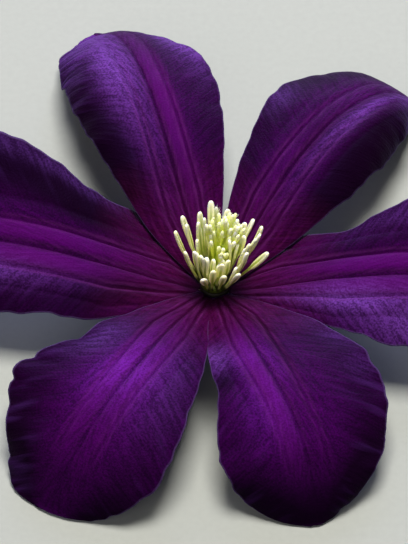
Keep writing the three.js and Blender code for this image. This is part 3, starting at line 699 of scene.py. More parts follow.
def tepal_material():
    """Velvety petal tissue: the fine fibres and grains break up the light as its cells do."""
    material, add = new_material("velvet_tepal_tissue")
    layers = []
    for label in ("share", "place", "look", "bloom"):
        layer = add("ShaderNodeAttribute", attribute_name=label).outputs["Vector"]
        layers.append(add("ShaderNodeSeparateXYZ", {0: layer}).outputs)
    shares, places, looks, patches = layers
    along = shares["Y"]
    distance, across = [
        add("ShaderNodeMath", {0: signed["X"]}, operation="ABSOLUTE") for signed in (places, shares)
    ]

    # Side fibres run out to the margin, and middle ones nearly along the midrib
    slant = add("ShaderNodeMath", {0: distance, 1: -RIDGE_SLANT, 2: places["Y"]}, operation="MULTIPLY_ADD")
    drift = add("ShaderNodeMath", {0: places["Y"], 1: -MID_DRIFT, 2: distance}, operation="MULTIPLY_ADD")
    noises = []
    for quick, spacing, slow, length in (
        (slant, SIDE_FIBRE_SPACING, places["X"], SIDE_FIBRE_LENGTH),
        (drift, MID_FIBRE_SPACING, places["Y"], MID_FIBRE_LENGTH),
    ):
        quick = add("ShaderNodeMath", {0: quick, 1: 1 / spacing}, operation="MULTIPLY")
        slow = add("ShaderNodeMath", {0: slow, 1: 1 / length}, operation="MULTIPLY")
        spot = add("ShaderNodeCombineXYZ", {0: quick, 1: slow})
        noises.append(add("ShaderNodeTexNoise", {"Vector": spot, "Scale": 1.0, "Detail": 3.0}))
    side_fibres, mid_fibres = noises
    outer = add(
        "ShaderNodeMapRange", {"Value": across, "From Min": 0.15, "From Max": 0.6},
        interpolation_type="SMOOTHSTEP",
    )
    fibres = add("ShaderNodeMix", {"Factor": outer, "A": mid_fibres, "B": side_fibres}, data_type="FLOAT")
    # The cells are some 0.03 mm across, and are drawn ten times coarser so that they show
    coords = add("ShaderNodeTexCoord").outputs["Object"]
    grains = add("ShaderNodeTexNoise", {"Vector": coords, "Scale": 1 / DRAWN_GRAIN, "Detail": 2.0})

    # Violet, lighter where the fibres stand up
    mottle = add("ShaderNodeMath", {0: grains, 1: 1.0, 2: fibres}, operation="MULTIPLY_ADD")
    mottle = add("ShaderNodeMapRange", {"Value": mottle, "From Min": 0.8, "From Max": 1.3})
    violets = {"Factor": mottle, "A": hex_color(VIOLET_DEEP), "B": hex_color(VIOLET_LIT)}
    color = add("ShaderNodeMix", violets, data_type="RGBA")
    # Patches of painted light lie on the blade: a saturated violet where it faces the light and a pale
    # painted sheen, both thickest where fibres and grains stand up
    standing = add("ShaderNodeMapRange", {"Value": mottle, "From Min": 0.1, "From Max": 0.75, "To Min": 0.3})
    bloom, glow = [
        add("ShaderNodeMath", {0: patches[axis], 1: standing}, operation="MULTIPLY") for axis in ("X", "Y")
    ]
    # Painted highlights on the crests of the ridges, and painted shade in the hollows between them
    crest = add("ShaderNodeAttribute", attribute_name="crest").outputs["Fac"]
    pale = add("ShaderNodeMapRange", {"Value": crest, "From Min": 0.01, "From Max": 0.16})
    highlight_strength = add("ShaderNodeMath", {0: bloom, 1: 0.7, 2: 0.13}, operation="MULTIPLY_ADD")
    pale = add("ShaderNodeMath", {0: pale, 1: highlight_strength}, operation="MULTIPLY")
    hollow = add("ShaderNodeMapRange", {"Value": crest, "From Min": -0.01, "From Max": -0.16, "To Max": 0.5})
    # These lie over each other, from the bar beside the midrib to the painted shade in the hollows
    for factor, tint in (
        (looks["Y"], MAGENTA_BAR), (looks["Z"], PAINTED_SHADE), (glow, PAINTED_LIGHT_VIOLET),
        (bloom, PAINTED_SHEEN_LAVENDER), (pale, PAINTED_SHEEN_LAVENDER), (hollow, PAINTED_SHADE),
    ):
        color = add("ShaderNodeMix", {"Factor": factor, "A": color, "B": hex_color(tint)}, data_type="RGBA")

    # Towards the root the blade turns to wine, with streaks along the fibres
    streak = add("ShaderNodeMapRange", {"Value": mid_fibres, "From Min": 0.42, "From Max": 0.62})
    wines = {"Factor": streak, "A": hex_color(WINE_ROOT), "B": hex_color(ROOT_STREAK)}
    wine = add("ShaderNodeMix", wines, data_type="RGBA")
    root = add("ShaderNodeMapRange", {"Value": along, "From Min": 0.34, "From Max": 0.04, "To Max": 0.75})
    color = add("ShaderNodeMix", {"Factor": root, "A": color, "B": wine}, data_type="RGBA")
    # In each groove a dark line about 0.4 mm wide, the vein's own darker colour together with painted shade,
    # and along its shoulders a painted highlight
    kept = add("ShaderNodeMapRange", {"Value": along, "From Min": 0.85, "From Max": 0.4})
    broken = {"Value": mid_fibres, "From Min": 0.35, "From Max": 0.65, "To Min": 0.35}
    broken = add("ShaderNodeMapRange", broken)
    kept = add("ShaderNodeMath", {0: kept, 1: broken}, operation="MULTIPLY")
    for line, strength in ((0.0, 0.75), (places["Z"], 0.55)):
        off = add("ShaderNodeMath", {0: distance, 1: line}, operation="SUBTRACT")
        off = add("ShaderNodeMath", {0: off}, operation="ABSOLUTE")
        rising = add("ShaderNodeMapRange", {"Value": off, "From Min": 0.2, "From Max": 0.5})
        falling = add("ShaderNodeMapRange", {"Value": off, "From Min": 1.1, "From Max": 0.5, "To Max": 0.36})
        shoulder = add("ShaderNodeMath", {0: falling, 1: rising}, operation="MULTIPLY")
        bottom = {"Value": off, "From Min": 0.32, "From Max": 0.08, "To Max": strength}
        bottom = add("ShaderNodeMapRange", bottom)
        for factor, tint in ((shoulder, SHOULDER_HIGHLIGHT_PINK), (bottom, VEIN_AND_SHADE_DARK)):
            factor = add("ShaderNodeMath", {0: factor, 1: kept}, operation="MULTIPLY")
            layer = {"Factor": factor, "A": color, "B": hex_color(tint)}
            color = add("ShaderNodeMix", layer, data_type="RGBA")
    # Painted shade at the very root of the blade, under the tuft
    deep = add("ShaderNodeMapRange", {"Value": along, "From Min": 0.07, "From Max": 0.0, "To Max": 0.9})
    # A painted highlight along the rim
    rim = add("ShaderNodeMapRange", {"Value": across, "From Min": 0.975, "From Max": 1.0, "To Max": 0.7})
    for factor, tint in ((deep, VEIN_AND_SHADE_DARK), (rim, RIM_HIGHLIGHT)):
        color = add("ShaderNodeMix", {"Factor": factor, "A": color, "B": hex_color(tint)}, data_type="RGBA")

    # The underside
    relative = add("ShaderNodeMath", {0: distance, 1: places["Z"]}, operation="DIVIDE")
    bar = add(
        "ShaderNodeMapRange", {"Value": relative, "From Min": 1.5, "From Max": 0.4, "To Max": 0.8},
        interpolation_type="SMOOTHSTEP",
    )
    greys = {"Factor": bar, "A": hex_color(UNDER_SKIN), "B": hex_color(UNDER_BAR)}
    below = add("ShaderNodeMix", greys, data_type="RGBA")
    over_fibres = {"Value": fibres, "From Min": 0.2, "From Max": 0.8}
    duller = add("ShaderNodeMapRange", {**over_fibres, "To Min": 0.6, "To Max": 1.2})
    below = add("ShaderNodeVectorMath", {0: below, "Scale": duller}, operation="SCALE")
    color = add("ShaderNodeMix", {"Factor": shares["Z"], "A": color, "B": below}, data_type="RGBA")

    relief = add("ShaderNodeMath", {0: grains, 1: 0.55, 2: fibres}, operation="MULTIPLY_ADD")
    shader = add(
        "ShaderNodeBsdfPrincipled",
        {
            "Base Color": color,
            "Roughness": add("ShaderNodeMapRange", {**over_fibres, "To Min": 0.62, "To Max": 0.48}),
            "Normal": add("ShaderNodeBump", {"Height": relief, "Distance": FIBRE_RELIEF, "Strength": 0.6}),
            "IOR": 1.42,
            "Specular IOR Level": 0.05,
            "Specular Tint": hex_color(GLOSS_VIOLET),
            "Sheen Weight": 0.1,
            "Sheen Roughness": 0.28,
            "Sheen Tint": hex_color(SHEEN_LAVENDER),
        },
    )
    add("ShaderNodeOutputMaterial", {"Surface": shader})
    return material


velvet = tepal_material()
print("tepal skin:", velvet.name)

# %% [markdown]
# Each blade now gets its own settings. The back left tepal has the closest ridges, and the side
# tepals have the deepest grooves.

# %% Grow the six blades
BLADE_THICKNESS = 0.5
GROOVE_DEPTHS = {"tepal_left": 1.0, "tepal_right": 1.0}
USUAL_GROOVE_DEPTH = 0.7
GROOVE_WIDTH = 0.65
RIDGE_HEIGHT = 0.8
RIDGE_SPACINGS = {"tepal_back_left": 1.4}
USUAL_RIDGE_SPACING = 1.9
UNEVENNESS = 0.6
SEED_STEP = 3.7


def finish_piece(piece, nodes):
    """Rides the piece on the flower, in place of these solids of the construction model."""
    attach(piece, "root")
    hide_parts(*nodes)
    count = sum(len(face.vertices) - 2 for face in piece.data.polygons)
    print(piece.name, "triangles:", count)


for number, (name, shape) in enumerate(TEPALS.items()):
    settings = {
        "Thickness": BLADE_THICKNESS * MM,
        "Groove Depth": GROOVE_DEPTHS.get(name, USUAL_GROOVE_DEPTH),
        "Groove Width": GROOVE_WIDTH,
        "Ridge Height": RIDGE_HEIGHT,
        "Ridge Spacing": RIDGE_SPACINGS.get(name, USUAL_RIDGE_SPACING),
        "Ridge Start": shape["ridge_start"],
        "Unevenness": UNEVENNESS,
        "Seed": SEED_STEP * number,
        "Material": velvet,
    }
    run_tree(sheets[name], blade, settings)
    finish_piece(sheets[name], [name])

# %% [markdown]
# ## Stamens
# Each stamen is a slim filament that widens into a flat anther: two cream pollen sacs along the
# edges, joined over the tip, with a green strip between them. They spring from the receptacle in
# spirals, the outer ones leaning out the most.
#
# One straight stamen is modelled in mesh code, some 140 faces round a dumbbell section. Geometry
# Nodes then set copies of it along the spiral and bend each one, which keeps them all alike yet
# never the same.

# %% One straight stamen
SECTION_POINTS = 14
STAMEN_WIDTH = 1.35
WAIST_REACH = 0.42
STAMEN_SECTIONS = [
    # along, width, thickness, groove
    (0.0, 0.4, 0.45, 0.0),
    (0.3, 0.42, 0.45, 0.0),
    (0.5, 0.48, 0.45, 0.0),
    (0.57, 0.75, 0.5, 0.2),
    (0.62, 1.1, 0.6, 0.45),
    (0.7, 1.28, 0.66, 0.55),
    (0.8, 1.35, 0.68, 0.58),
    (0.88, 1.3, 0.68, 0.55),
    (0.94, 1.15, 0.66, 0.4),
    (0.975, 0.85, 0.6, 0.15),
    (0.993, 0.5, 0.42, 0.0),
]


def tube(sections, point_at):
    """Rings of points joined by quads, closed at both ends. point_at gives each ring's points."""
    rings = [point_at(section) for section in sections]
    sides = len(rings[0])
    faces = [list(range(sides))[::-1]]
    for i in range(len(rings) - 1):
        for j in range(sides):
            k = (j + 1) % sides
            faces.append([i * sides + j, i * sides + k, (i + 1) * sides + k, (i + 1) * sides + j])
    faces.append([(len(rings) - 1) * sides + j for j in range(sides)])
    return np.concatenate(rings), faces


def stamen_ring(section):
    """Points round one section: width along Y, thickness along X, the place along as Z."""
    along, width, thickness, groove = section
    turn = 2 * np.pi * np.arange(SECTION_POINTS) / SECTION_POINTS
    y = np.cos(turn)
    waist = 1 - groove * np.exp(-((y / WAIST_REACH) ** 2))
    x = np.sin(turn) * waist
    return np.stack([x * thickness / 2 * MM, y * width / 2 * MM, np.full(SECTION_POINTS, along)], -1)


points, faces = tube(STAMEN_SECTIONS, stamen_ring)
share = np.stack([points[:, 1] / (STAMEN_WIDTH / 2 * MM), points[:, 2], np.zeros(len(points))], -1)
stamens = mesh_object("stamens_tuft", points, faces, dict(share=share))
print("faces in one stamen:", len(stamens.data.polygons))

# %% [markdown]
# The bunch tree takes one upright strand and makes a whole bunch of it. Copy number i is turned by
# the golden angle from the last and stands further out, as seeds and stamens do in nature. From the
# inside to the outside of the bunch, the length, the lean of the foot and the bend change evenly, and
# a seeded random amount is added to each. Strands on the young side of the bunch come out shorter.
#
# A strand whose lean changes evenly is an arc, and the place on an arc has a simple formula, so the
# bend needs no simulation. The whole bunch then leans a little, as the flower's centre does.

# %% The bunch tree
GOLDEN_ANGLE = math.pi * (3 - math.sqrt(5))


def bunch_tree():
    tree, given, add = new_tree(
        "Spiral bunch",
        Int=["Count", "Seed"],
        Float=[
            "Inner Radius", "Outer Radius", "Inner Length", "Outer Length", "Length Spread", "Inner Lean",
            "Outer Lean", "Lean Spread", "Inner Bend", "Outer Bend", "Bend Spread", "Turn Spread",
            "Twist Spread",
        ],
        Vector=["Foot", "Bunch Lean", "Young Side"],
    )
    index = add("GeometryNodeInputIndex")
    share = add("ShaderNodeMath", {0: index, 1: 0.5}, operation="ADD")
    share = add("ShaderNodeMath", {0: share, 1: given["Count"]}, operation="DIVIDE")
    share = add("ShaderNodeMath", {0: share}, operation="SQRT")

    def between(inner, outer):
        ends = {"Factor": share, "A": given[inner], "B": given[outer]}
        return add("ShaderNodeMix", ends, data_type="FLOAT")

    def scattered(base, spread, step):
        least = add("ShaderNodeMath", {0: given[spread], 1: -1.0}, operation="MULTIPLY")
        seed = add("ShaderNodeMath", {0: given["Seed"], 1: step}, operation="ADD")
        limits = {"Min": least, "Max": given[spread], "Seed": seed}
        drawn = add("FunctionNodeRandomValue", limits, data_type="FLOAT")
        return add("ShaderNodeMath", {0: base, 1: drawn}, operation="ADD")

    angle = add("ShaderNodeMath", {0: index, 1: GOLDEN_ANGLE}, operation="MULTIPLY")
    turned = scattered(angle, "Turn Spread", 1)
    outwards = {"Vector": (1.0, 0.0, 0.0), "Angle": turned}
    outwards = add("ShaderNodeVectorRotate", outwards, rotation_type="Z_AXIS")
    young = add("ShaderNodeVectorMath", {0: outwards, 1: given["Young Side"]}, operation="DOT_PRODUCT")
    young = add("ShaderNodeMath", {0: young, 1: 0.0}, operation="MAXIMUM")
    grown = add("ShaderNodeMath", {0: 1.0, 1: young}, operation="SUBTRACT")
    length = scattered(between("Inner Length", "Outer Length"), "Length Spread", 2)
    length = add("ShaderNodeMath", {0: length, 1: grown}, operation="MULTIPLY")
    radius = between("Inner Radius", "Outer Radius")
    lean = scattered(between("Inner Lean", "Outer Lean"), "Lean Spread", 3)
    bend = scattered(between("Inner Bend", "Outer Bend"), "Bend Spread", 5)
    twist = scattered(0.0, "Twist Spread", 4)
    bunch = add("GeometryNodePoints", {"Count": given["Count"]})
    placing, bending = {0: radius, 1: turned, 2: length}, {0: lean, 1: bend, 2: twist}
    for label, values in (("placing", placing), ("bending", bending)):
        bunch = add(
            "GeometryNodeStoreNamedAttribute",
            {"Geometry": bunch, "Name": label, "Value": add("ShaderNodeCombineXYZ", values)},
            data_type="FLOAT_VECTOR", domain="POINT",
        )
    tint = {"Min": 0.0, "Max": 1.0, "Seed": given["Seed"]}
    tint = add("FunctionNodeRandomValue", tint, data_type="FLOAT")
    bunch = add(
        "GeometryNodeStoreNamedAttribute", {"Geometry": bunch, "Name": "tint", "Value": tint},
        data_type="FLOAT", domain="POINT",
    )
    bunch = add("GeometryNodeInstanceOnPoints", {"Points": bunch, "Instance": given["Geometry"]})
    bunch = add("GeometryNodeRealizeInstances", {"Geometry": bunch})

    # Bend each straight strand: twist its section, tilt it, set it on the arc, and turn it round
    placing, bending = [
        add("GeometryNodeInputNamedAttribute", {0: label}, data_type="FLOAT_VECTOR")
        for label in ("placing", "bending")
    ]
    radius, turned, length = add("ShaderNodeSeparateXYZ", {0: placing}).outputs
    lean, bend, twist = add("ShaderNodeSeparateXYZ", {0: bending}).outputs
    x, y, along = add("ShaderNodeSeparateXYZ", {0: add("GeometryNodeInputPosition")}).outputs
    tilt = add("ShaderNodeMath", {0: bend, 1: along, 2: lean}, operation="MULTIPLY_ADD")
    arc = add("ShaderNodeMath", {0: length, 1: bend}, operation="DIVIDE")
    steps = {}
    for key, function in (("out", "COSINE"), ("up", "SINE")):
        start = add("ShaderNodeMath", {0: lean}, operation=function)
        end = add("ShaderNodeMath", {0: tilt}, operation=function)
        first, second = (start, end) if key == "out" else (end, start)
        gone = add("ShaderNodeMath", {0: first, 1: second}, operation="SUBTRACT")
        steps[key] = add("ShaderNodeMath", {0: gone, 1: arc}, operation="MULTIPLY")
    reach = add("ShaderNodeMath", {0: steps["out"], 1: radius}, operation="ADD")
    spine = add("ShaderNodeCombineXYZ", {0: reach, 2: steps["up"]})
    section = add("ShaderNodeCombineXYZ", {0: x, 1: y})
    for angle, axis in ((twist, "Z_AXIS"), (tilt, "Y_AXIS")):
        section = add("ShaderNodeVectorRotate", {"Vector": section, "Angle": angle}, rotation_type=axis)
    spot = add("ShaderNodeVectorMath", {0: section, 1: spine})
    spot = add("ShaderNodeVectorRotate", {"Vector": spot, "Angle": turned}, rotation_type="Z_AXIS")
    height = add("ShaderNodeSeparateXYZ", {0: spot}).outputs["Z"]
    shear = add("ShaderNodeVectorMath", {0: given["Bunch Lean"], "Scale": height}, operation="SCALE")
    for offset in (shear, given["Foot"]):
        spot = add("ShaderNodeVectorMath", {0: spot, 1: offset})
    bunch = add("GeometryNodeSetPosition", {"Geometry": bunch, "Position": spot})
    for label in ("placing", "bending"):
        bunch = add("GeometryNodeRemoveAttribute", {"Geometry": bunch, "Name": label})
    bunch = add("GeometryNodeSetShadeSmooth", {"Geometry": bunch})
    bunch = add("GeometryNodeSetMaterial", {"Geometry": bunch, "Material": given["Material"]})
    add("NodeGroupOutput", {0: bunch})
    return tree


bunch = bunch_tree()
print("nodes in the bunch tree:", len(bunch.nodes))

# %% [markdown]
# ## Cream and green
# Stamens, styles and the down between them share one kind of finish: a matt plant tissue whose
# colour changes along each strand. One function makes it, from the colours at the foot, in the
# middle and at the tip, and, for stamens, the green of the strip between the pollen sacs. A little
# light passes into such thin, pale tissue, so it has some subsurface scattering.

# %% Soft tissue with a colour that changes along the strand
DRAWN_POLLEN = 0.3 * MM


def strand_material(name, foot, middle, tip, change, strip=None, roughness=0.6):
    """Matt plant tissue: pollen sacs and silky hairs are both fairly rough and let some light in.

    change holds where the middle colour starts, where it is full, and where the tip starts.
    """
    material, add = new_material(name)
    share = add("ShaderNodeAttribute", attribute_name="share").outputs["Vector"]
    shares = add("ShaderNodeSeparateXYZ", {0: share}).outputs
    tint = add("ShaderNodeAttribute", attribute_name="tint").outputs["Fac"]
    lower, upper, last = change
    rising, near_tip = [
        add(
            "ShaderNodeMapRange", {"Value": shares["Y"], "From Min": start, "From Max": end},
            interpolation_type="SMOOTHSTEP",
        )
        for start, end in ((lower, upper), (last, 1.0))
    ]
    paler = add("ShaderNodeMath", {0: tint, 1: 0.6, 2: 0.4}, operation="MULTIPLY_ADD")
    near_tip = add("ShaderNodeMath", {0: near_tip, 1: paler}, operation="MULTIPLY")
    layers = [(near_tip, tip)]
    if strip:
        across = add("ShaderNodeMath", {0: shares["X"]}, operation="ABSOLUTE")
        inside = add(
            "ShaderNodeMapRange", {"Value": across, "From Min": 0.5, "From Max": 0.15},
            interpolation_type="SMOOTHSTEP",
        )
        open_end = add("ShaderNodeMapRange", {"Value": shares["Y"], "From Min": 0.955, "From Max": 0.92})
        for factor in (open_end, rising):
            inside = add("ShaderNodeMath", {0: inside, 1: factor}, operation="MULTIPLY")
        layers.insert(0, (inside, strip))
    color = {"Factor": rising, "A": hex_color(foot), "B": hex_color(middle)}
    color = add("ShaderNodeMix", color, data_type="RGBA")
    for factor, tone in layers:
        color = add("ShaderNodeMix", {"Factor": factor, "A": color, "B": hex_color(tone)}, data_type="RGBA")
    # Pollen grains are some 0.03 mm across, and are drawn ten times coarser so that they show
    coords = add("ShaderNodeTexCoord").outputs["Object"]
    grains = add("ShaderNodeTexNoise", {"Vector": coords, "Scale": 1 / DRAWN_POLLEN, "Detail": 2.0})
    shader = add(
        "ShaderNodeBsdfPrincipled",
        {
            "Base Color": color,
            "Roughness": roughness,
            "Normal": add("ShaderNodeBump", {"Height": grains, "Distance": 0.08 * MM, "Strength": 0.6}),
            "IOR": 1.4,
            "Specular IOR Level": 0.3,
            "Subsurface Weight": 0.5,
            "Subsurface Radius": (1.0, 0.9, 0.35),
            "Subsurface Scale": 0.9 * MM,
        },
    )
    add("ShaderNodeOutputMaterial", {"Surface": shader})
    return material


# The dark olive at the stamens' foot is their green filament colour with painted shade, deep in the tuft
pollen_sac = strand_material(
    "cream_pollen_sacs", foot="#4a5616", middle="#fcfab4", tip="#fffde8",
    change=(0.22, 0.44, 0.72), strip="#a8b848",
)
silk = strand_material(
    "silky_styles", foot="#a8c424", middle="#e4ee60", tip="#fffff0",
    change=(0.4, 0.76, 0.84), roughness=0.5,
)
down = strand_material(
    "pale_down", foot="#c8d06a", middle="#f2f4c8", tip="#ffffff",
    change=(0.0, 0.5, 0.5), roughness=0.55,
)
print("strand finishes:", pollen_sac.name, silk.name, down.name)

# %% [markdown]
# Forty-eight stamens fill a ring of two or three rows. The inner ones stand nearly upright and the
# outer ones lean out by about thirty degrees and straighten towards their tips, so the lean changes
# by a negative amount along each. Those on the near side are younger and shorter, and the bunch
# leans to the back and right with the flower's centre.

# %% Set out the stamens
STAMEN_HEADING, STAMEN_LEAN = math.radians(40), math.tan(math.radians(8))
STYLE_HEADING, STYLE_LEAN = math.radians(46), math.tan(math.radians(13))
YOUNG_SIDE = (0.0, -0.3, 0.0)
COLLAR_GAP = 0.3 * MM
FOOT = tuple(ATTACHMENT + Vector((0, 0, RECEPTACLE_TOP + COLLAR_GAP)))


def leaning(amount, heading):
    return (amount * math.cos(heading), amount * math.sin(heading), 0.0)


def grow_bunch(strand, millimetres, degrees, others):
    """Makes a bunch of a strand at the foot, and prints how high it reaches."""
    settings = {"Foot": FOOT, "Young Side": YOUNG_SIDE, **others}
    settings.update({label: length * MM for label, length in millimetres.items()})
    settings.update({label: math.radians(angle) for label, angle in degrees.items()})
    run_tree(strand, bunch, settings)
    print(strand.name, "reach, in mm:", round(max(v.co.z for v in strand.data.vertices) / MM, 1))


grow_bunch(
    stamens,
    millimetres={
        "Inner Radius": 1.5, "Outer Radius": 2.2, "Inner Length": 10.0, "Outer Length": 12.8,
        "Length Spread": 1.6,
    },
    degrees={
        "Inner Lean": 5, "Outer Lean": 32, "Lean Spread": 7, "Inner Bend": -4, "Outer Bend": -12,
        "Bend Spread": 15, "Turn Spread": 14, "Twist Spread": 38,
    },
    others={
        "Count": 48, "Seed": 831, "Bunch Lean": leaning(STAMEN_LEAN, STAMEN_HEADING),
        "Material": pollen_sac,
    },
)

# %% [markdown]
# The filaments grow from a low green collar on top of the receptacle. It is a turned ring, so its
# section is given once and swept round the axis. Only its top shows, deep between the filaments.

# %% The collar at the stamens' foot
ROUND_STEPS = 48
COLLAR_PROFILE = [(1.65, 0.0), (2.5, 0.0), (2.55, 0.5), (2.45, 0.9), (2.3, 1.1), (2.0, 1.2), (1.65, 1.1)]
COLLAR_SHARE_PER_MM = 0.2


def turned_ring(profile):
    """A closed ring from a profile of (radius, height) in millimetres, wound upwards."""
    turn = 2 * np.pi * np.arange(ROUND_STEPS) / ROUND_STEPS
    round_one = np.stack([np.cos(turn), np.sin(turn), np.ones(ROUND_STEPS)], -1)
    points = np.concatenate([round_one * (radius, radius, height) for radius, height in profile])
    faces = []
    for i in range(len(profile)):
        low, high = i * ROUND_STEPS, (i + 1) % len(profile) * ROUND_STEPS
        for j in range(ROUND_STEPS):
            m = (j + 1) % ROUND_STEPS
            faces.append([low + j, low + m, high + m, high + j])
    return points, faces


def solid_piece(name, points, faces, share, place, material):
    """A smooth piece from points in millimetres above a place, with one material."""
    piece = mesh_object(name, points * MM + np.array(place), faces, dict(share=share))
    piece.data.materials.append(material)
    piece.data.shade_smooth()
    return piece


def join_pieces(pieces, name):
    """One object from several, with their materials and attributes."""
    bpy.context.view_layer.update()
    with bpy.context.temp_override(active_object=pieces[0], selected_editable_objects=pieces):
        bpy.ops.object.join()
    pieces[0].name = name
    return pieces[0]


points, faces = turned_ring(COLLAR_PROFILE)
share = np.zeros_like(points)
share[:, 1] = points[:, 2] * COLLAR_SHARE_PER_MM
collar = solid_piece("collar", points, faces, share, FOOT, pollen_sac)
stamens = join_pieces([stamens, collar], "stamens_tuft")
finish_piece(stamens, ["stamens"])

# %% [markdown]
# ## Styles and their silk
# In the middle stand the pistils. Their styles are packed into a green bundle, and their silky white
# tips bend apart above it. The bundle is the bunch tree again, with slim strands of an almost even
# length that bend outwards and are shorter on the near side, like the stamens.

# %% The styles
STYLE_SIDES = 5
STYLE_SECTIONS = [
    # along, width
    (0.0, 0.5), (0.25, 0.5), (0.5, 0.5), (0.68, 0.55), (0.8, 0.7), (0.9, 0.82), (0.96, 0.74), (0.99, 0.4),
]


def style_ring(section):
    along, width = section
    turn = 2 * np.pi * np.arange(STYLE_SIDES) / STYLE_SIDES
    x, y = width / 2 * MM * np.cos(turn), width / 2 * MM * np.sin(turn)
    return np.stack([x, y, np.full(STYLE_SIDES, along)], -1)


points, faces = tube(STYLE_SECTIONS, style_ring)
share = np.stack([np.zeros(len(points)), points[:, 2], np.zeros(len(points))], -1)
styles = mesh_object("styles", points, faces, dict(share=share))
grow_bunch(
    styles,
    millimetres={
        "Inner Radius": 0.1, "Outer Radius": 0.9, "Inner Length": 13.4, "Outer Length": 13.1,
        "Length Spread": 1.3,
    },
    degrees={
        "Inner Lean": -1, "Outer Lean": 0, "Lean Spread": 3, "Inner Bend": 4, "Outer Bend": 22,
        "Bend Spread": 8, "Turn Spread": 20, "Twist Spread": 180,
    },
    others={
        "Count": 40, "Seed": 21, "Bunch Lean": leaning(STYLE_LEAN, STYLE_HEADING), "Material": silk,
    },
)

# %% [markdown]
# The styles stand on the pistils' seed cases, which are packed so closely that they look like one
# green body. A domed core, turned like the collar and leaning like the styles, stands for them. It
# fills the middle, so that no light shows through.

# %% The core
CORE_PROFILE = [
    (0.02, 0.0), (1.3, 0.0), (1.4, 1.2), (1.4, 3.0), (1.35, 5.0),
    (1.2, 6.6), (0.9, 7.8), (0.5, 8.5), (0.02, 8.8),
]
CORE_SHARE_HEIGHT = 15.0

points, faces = turned_ring(CORE_PROFILE)
share = np.zeros_like(points)
share[:, 1] = points[:, 2] / CORE_SHARE_HEIGHT
points[:, :2] += points[:, 2:] * np.array(leaning(STYLE_LEAN, STYLE_HEADING))[:2]
core = solid_piece("core", points, faces, share, FOOT, silk)
pistils = join_pieces([styles, core], "pistil_tuft")
print("pistil faces:", len(pistils.data.polygons))

# %% [markdown]
# ## Down
# Silky hairs stand out all over the styles, and a shorter down covers the stalk. Particle hair would
# be quick, but it doesn't survive export, so a tree scatters slim cones over the surface: points
# are drawn at random on the faces with a fixed seed, each cone is aimed between straight out and
# straight up, and the copies are realized with the surface that they stand on.

# %% The down tree
STRAY = 0.4


def down_tree():
    tree, given, add = new_tree(
        "Down on a surface",
        Float=["Density", "Hair Length", "Hair Width", "Upwards", "From Height", "To Height"],
        Int=["Seed"],
    )
    height = add("ShaderNodeSeparateXYZ", {0: add("GeometryNodeInputPosition")}).outputs["Z"]
    above, below = [
        add("FunctionNodeCompare", {0: height, 1: given[limit]}, operation=test)
        for limit, test in (("From Height", "GREATER_THAN"), ("To Height", "LESS_THAN"))
    ]
    chosen = add("FunctionNodeBooleanMath", {0: above, 1: below}, operation="AND")
    spots = add(
        "GeometryNodeDistributePointsOnFaces",
        {"Mesh": given["Geometry"], "Selection": chosen, "Density": given["Density"], "Seed": given["Seed"]},
    )
    lift = add("ShaderNodeCombineXYZ", {2: given["Upwards"]})
    stray = {"Min": (-STRAY, -STRAY, -STRAY), "Max": (STRAY, STRAY, STRAY), "Seed": given["Seed"]}
    stray = add("FunctionNodeRandomValue", stray, data_type="FLOAT_VECTOR")
    aim = spots.outputs["Normal"]
    for push in (lift, stray):
        aim = add("ShaderNodeVectorMath", {0: aim, 1: push})
    turn = add("FunctionNodeAlignRotationToVector", {"Vector": aim}, axis="Z")
    hair = add(
        "GeometryNodeMeshCone",
        {
            "Vertices": 3,
            "Side Segments": 2,
            "Radius Top": 0.0,
            "Radius Bottom": given["Hair Width"],
            "Depth": given["Hair Length"],
        },
        fill_type="NGON",
    )
    rise = add("ShaderNodeSeparateXYZ", {0: add("GeometryNodeInputPosition")}).outputs["Z"]
    rise = add("ShaderNodeMath", {0: rise, 1: given["Hair Length"]}, operation="DIVIDE")
    hair = add(
        "GeometryNodeStoreNamedAttribute",
        {"Geometry": hair, "Name": "share", "Value": add("ShaderNodeCombineXYZ", {1: rise})},
        data_type="FLOAT_VECTOR", domain="POINT",
    )
    growth = {"Min": 0.6, "Max": 1.1, "Seed": given["Seed"]}
    growth = add("FunctionNodeRandomValue", growth, data_type="FLOAT")
    hairs = {"Points": spots, "Instance": hair, "Rotation": turn, "Scale": growth}
    hairs = add("GeometryNodeInstanceOnPoints", hairs)
    hairs = add("GeometryNodeRealizeInstances", {"Geometry": hairs})
    hairs = add("GeometryNodeSetMaterial", {"Geometry": hairs, "Material": given["Material"]})
    both = add("GeometryNodeJoinGeometry", {"Geometry": [given["Geometry"], hairs]})
    add("NodeGroupOutput", {0: both})
    return tree


downy = down_tree()
print("nodes in the down tree:", len(downy.nodes))

# %% [markdown]
# The silk starts where the styles come out of their bundle, so only that height of them is covered.
# Real hairs are finer still, and these are drawn thick enough to show.

# %% Cover the styles with silk
run_tree(
    pistils, downy,
    {
        "Density": 1.5e6,
        "Hair Length": 1.0 * MM,
        "Hair Width": 0.06 * MM,
        "Upwards": 1.2,
        "From Height": FOOT[2] + 9.5 * MM,
        "To Height": FOOT[2] + 13.5 * MM,
        "Seed": 5,
        "Material": down,
    },
)
finish_piece(pistils, ["pistils"])

# %% [markdown]
# ## The stalk
# A clematis stalk is slim, faintly ribbed and downy, and swells into a round receptacle under the
# tepals. It is a turned shape with a ripple of six ribs round it that fades out in the swelling. Its
# lower end is a clean cut, with a pale ring of wood inside the green skin.

# %% Stalk and receptacle
STALK_PROFILE = [
    (0.02, -4.5), (0.55, -4.5), (1.0, -4.5), (1.08, -4.42), (1.1, -4.2), (1.1, -3.6),
    (1.1, -3.0), (1.2, -2.4), (1.45, -1.95), (1.9, -1.6), (2.25, -1.3), (2.5, -0.85),
    (2.55, -0.4), (2.55, 0.1), (2.5, 0.42), (2.3, 0.58), (1.6, 0.6), (0.02, 0.6),
]
STALK_CUT, STALK_LENGTH = -4.5, 5.1
SWELLING, SWELLING_FADE = -1.0, 2.0
RIBS, RIB_DEPTH = 6, 0.06
STEM_FIBRE, STEM_FIBRE_LENGTH = 0.25 * MM, 2.5 * MM


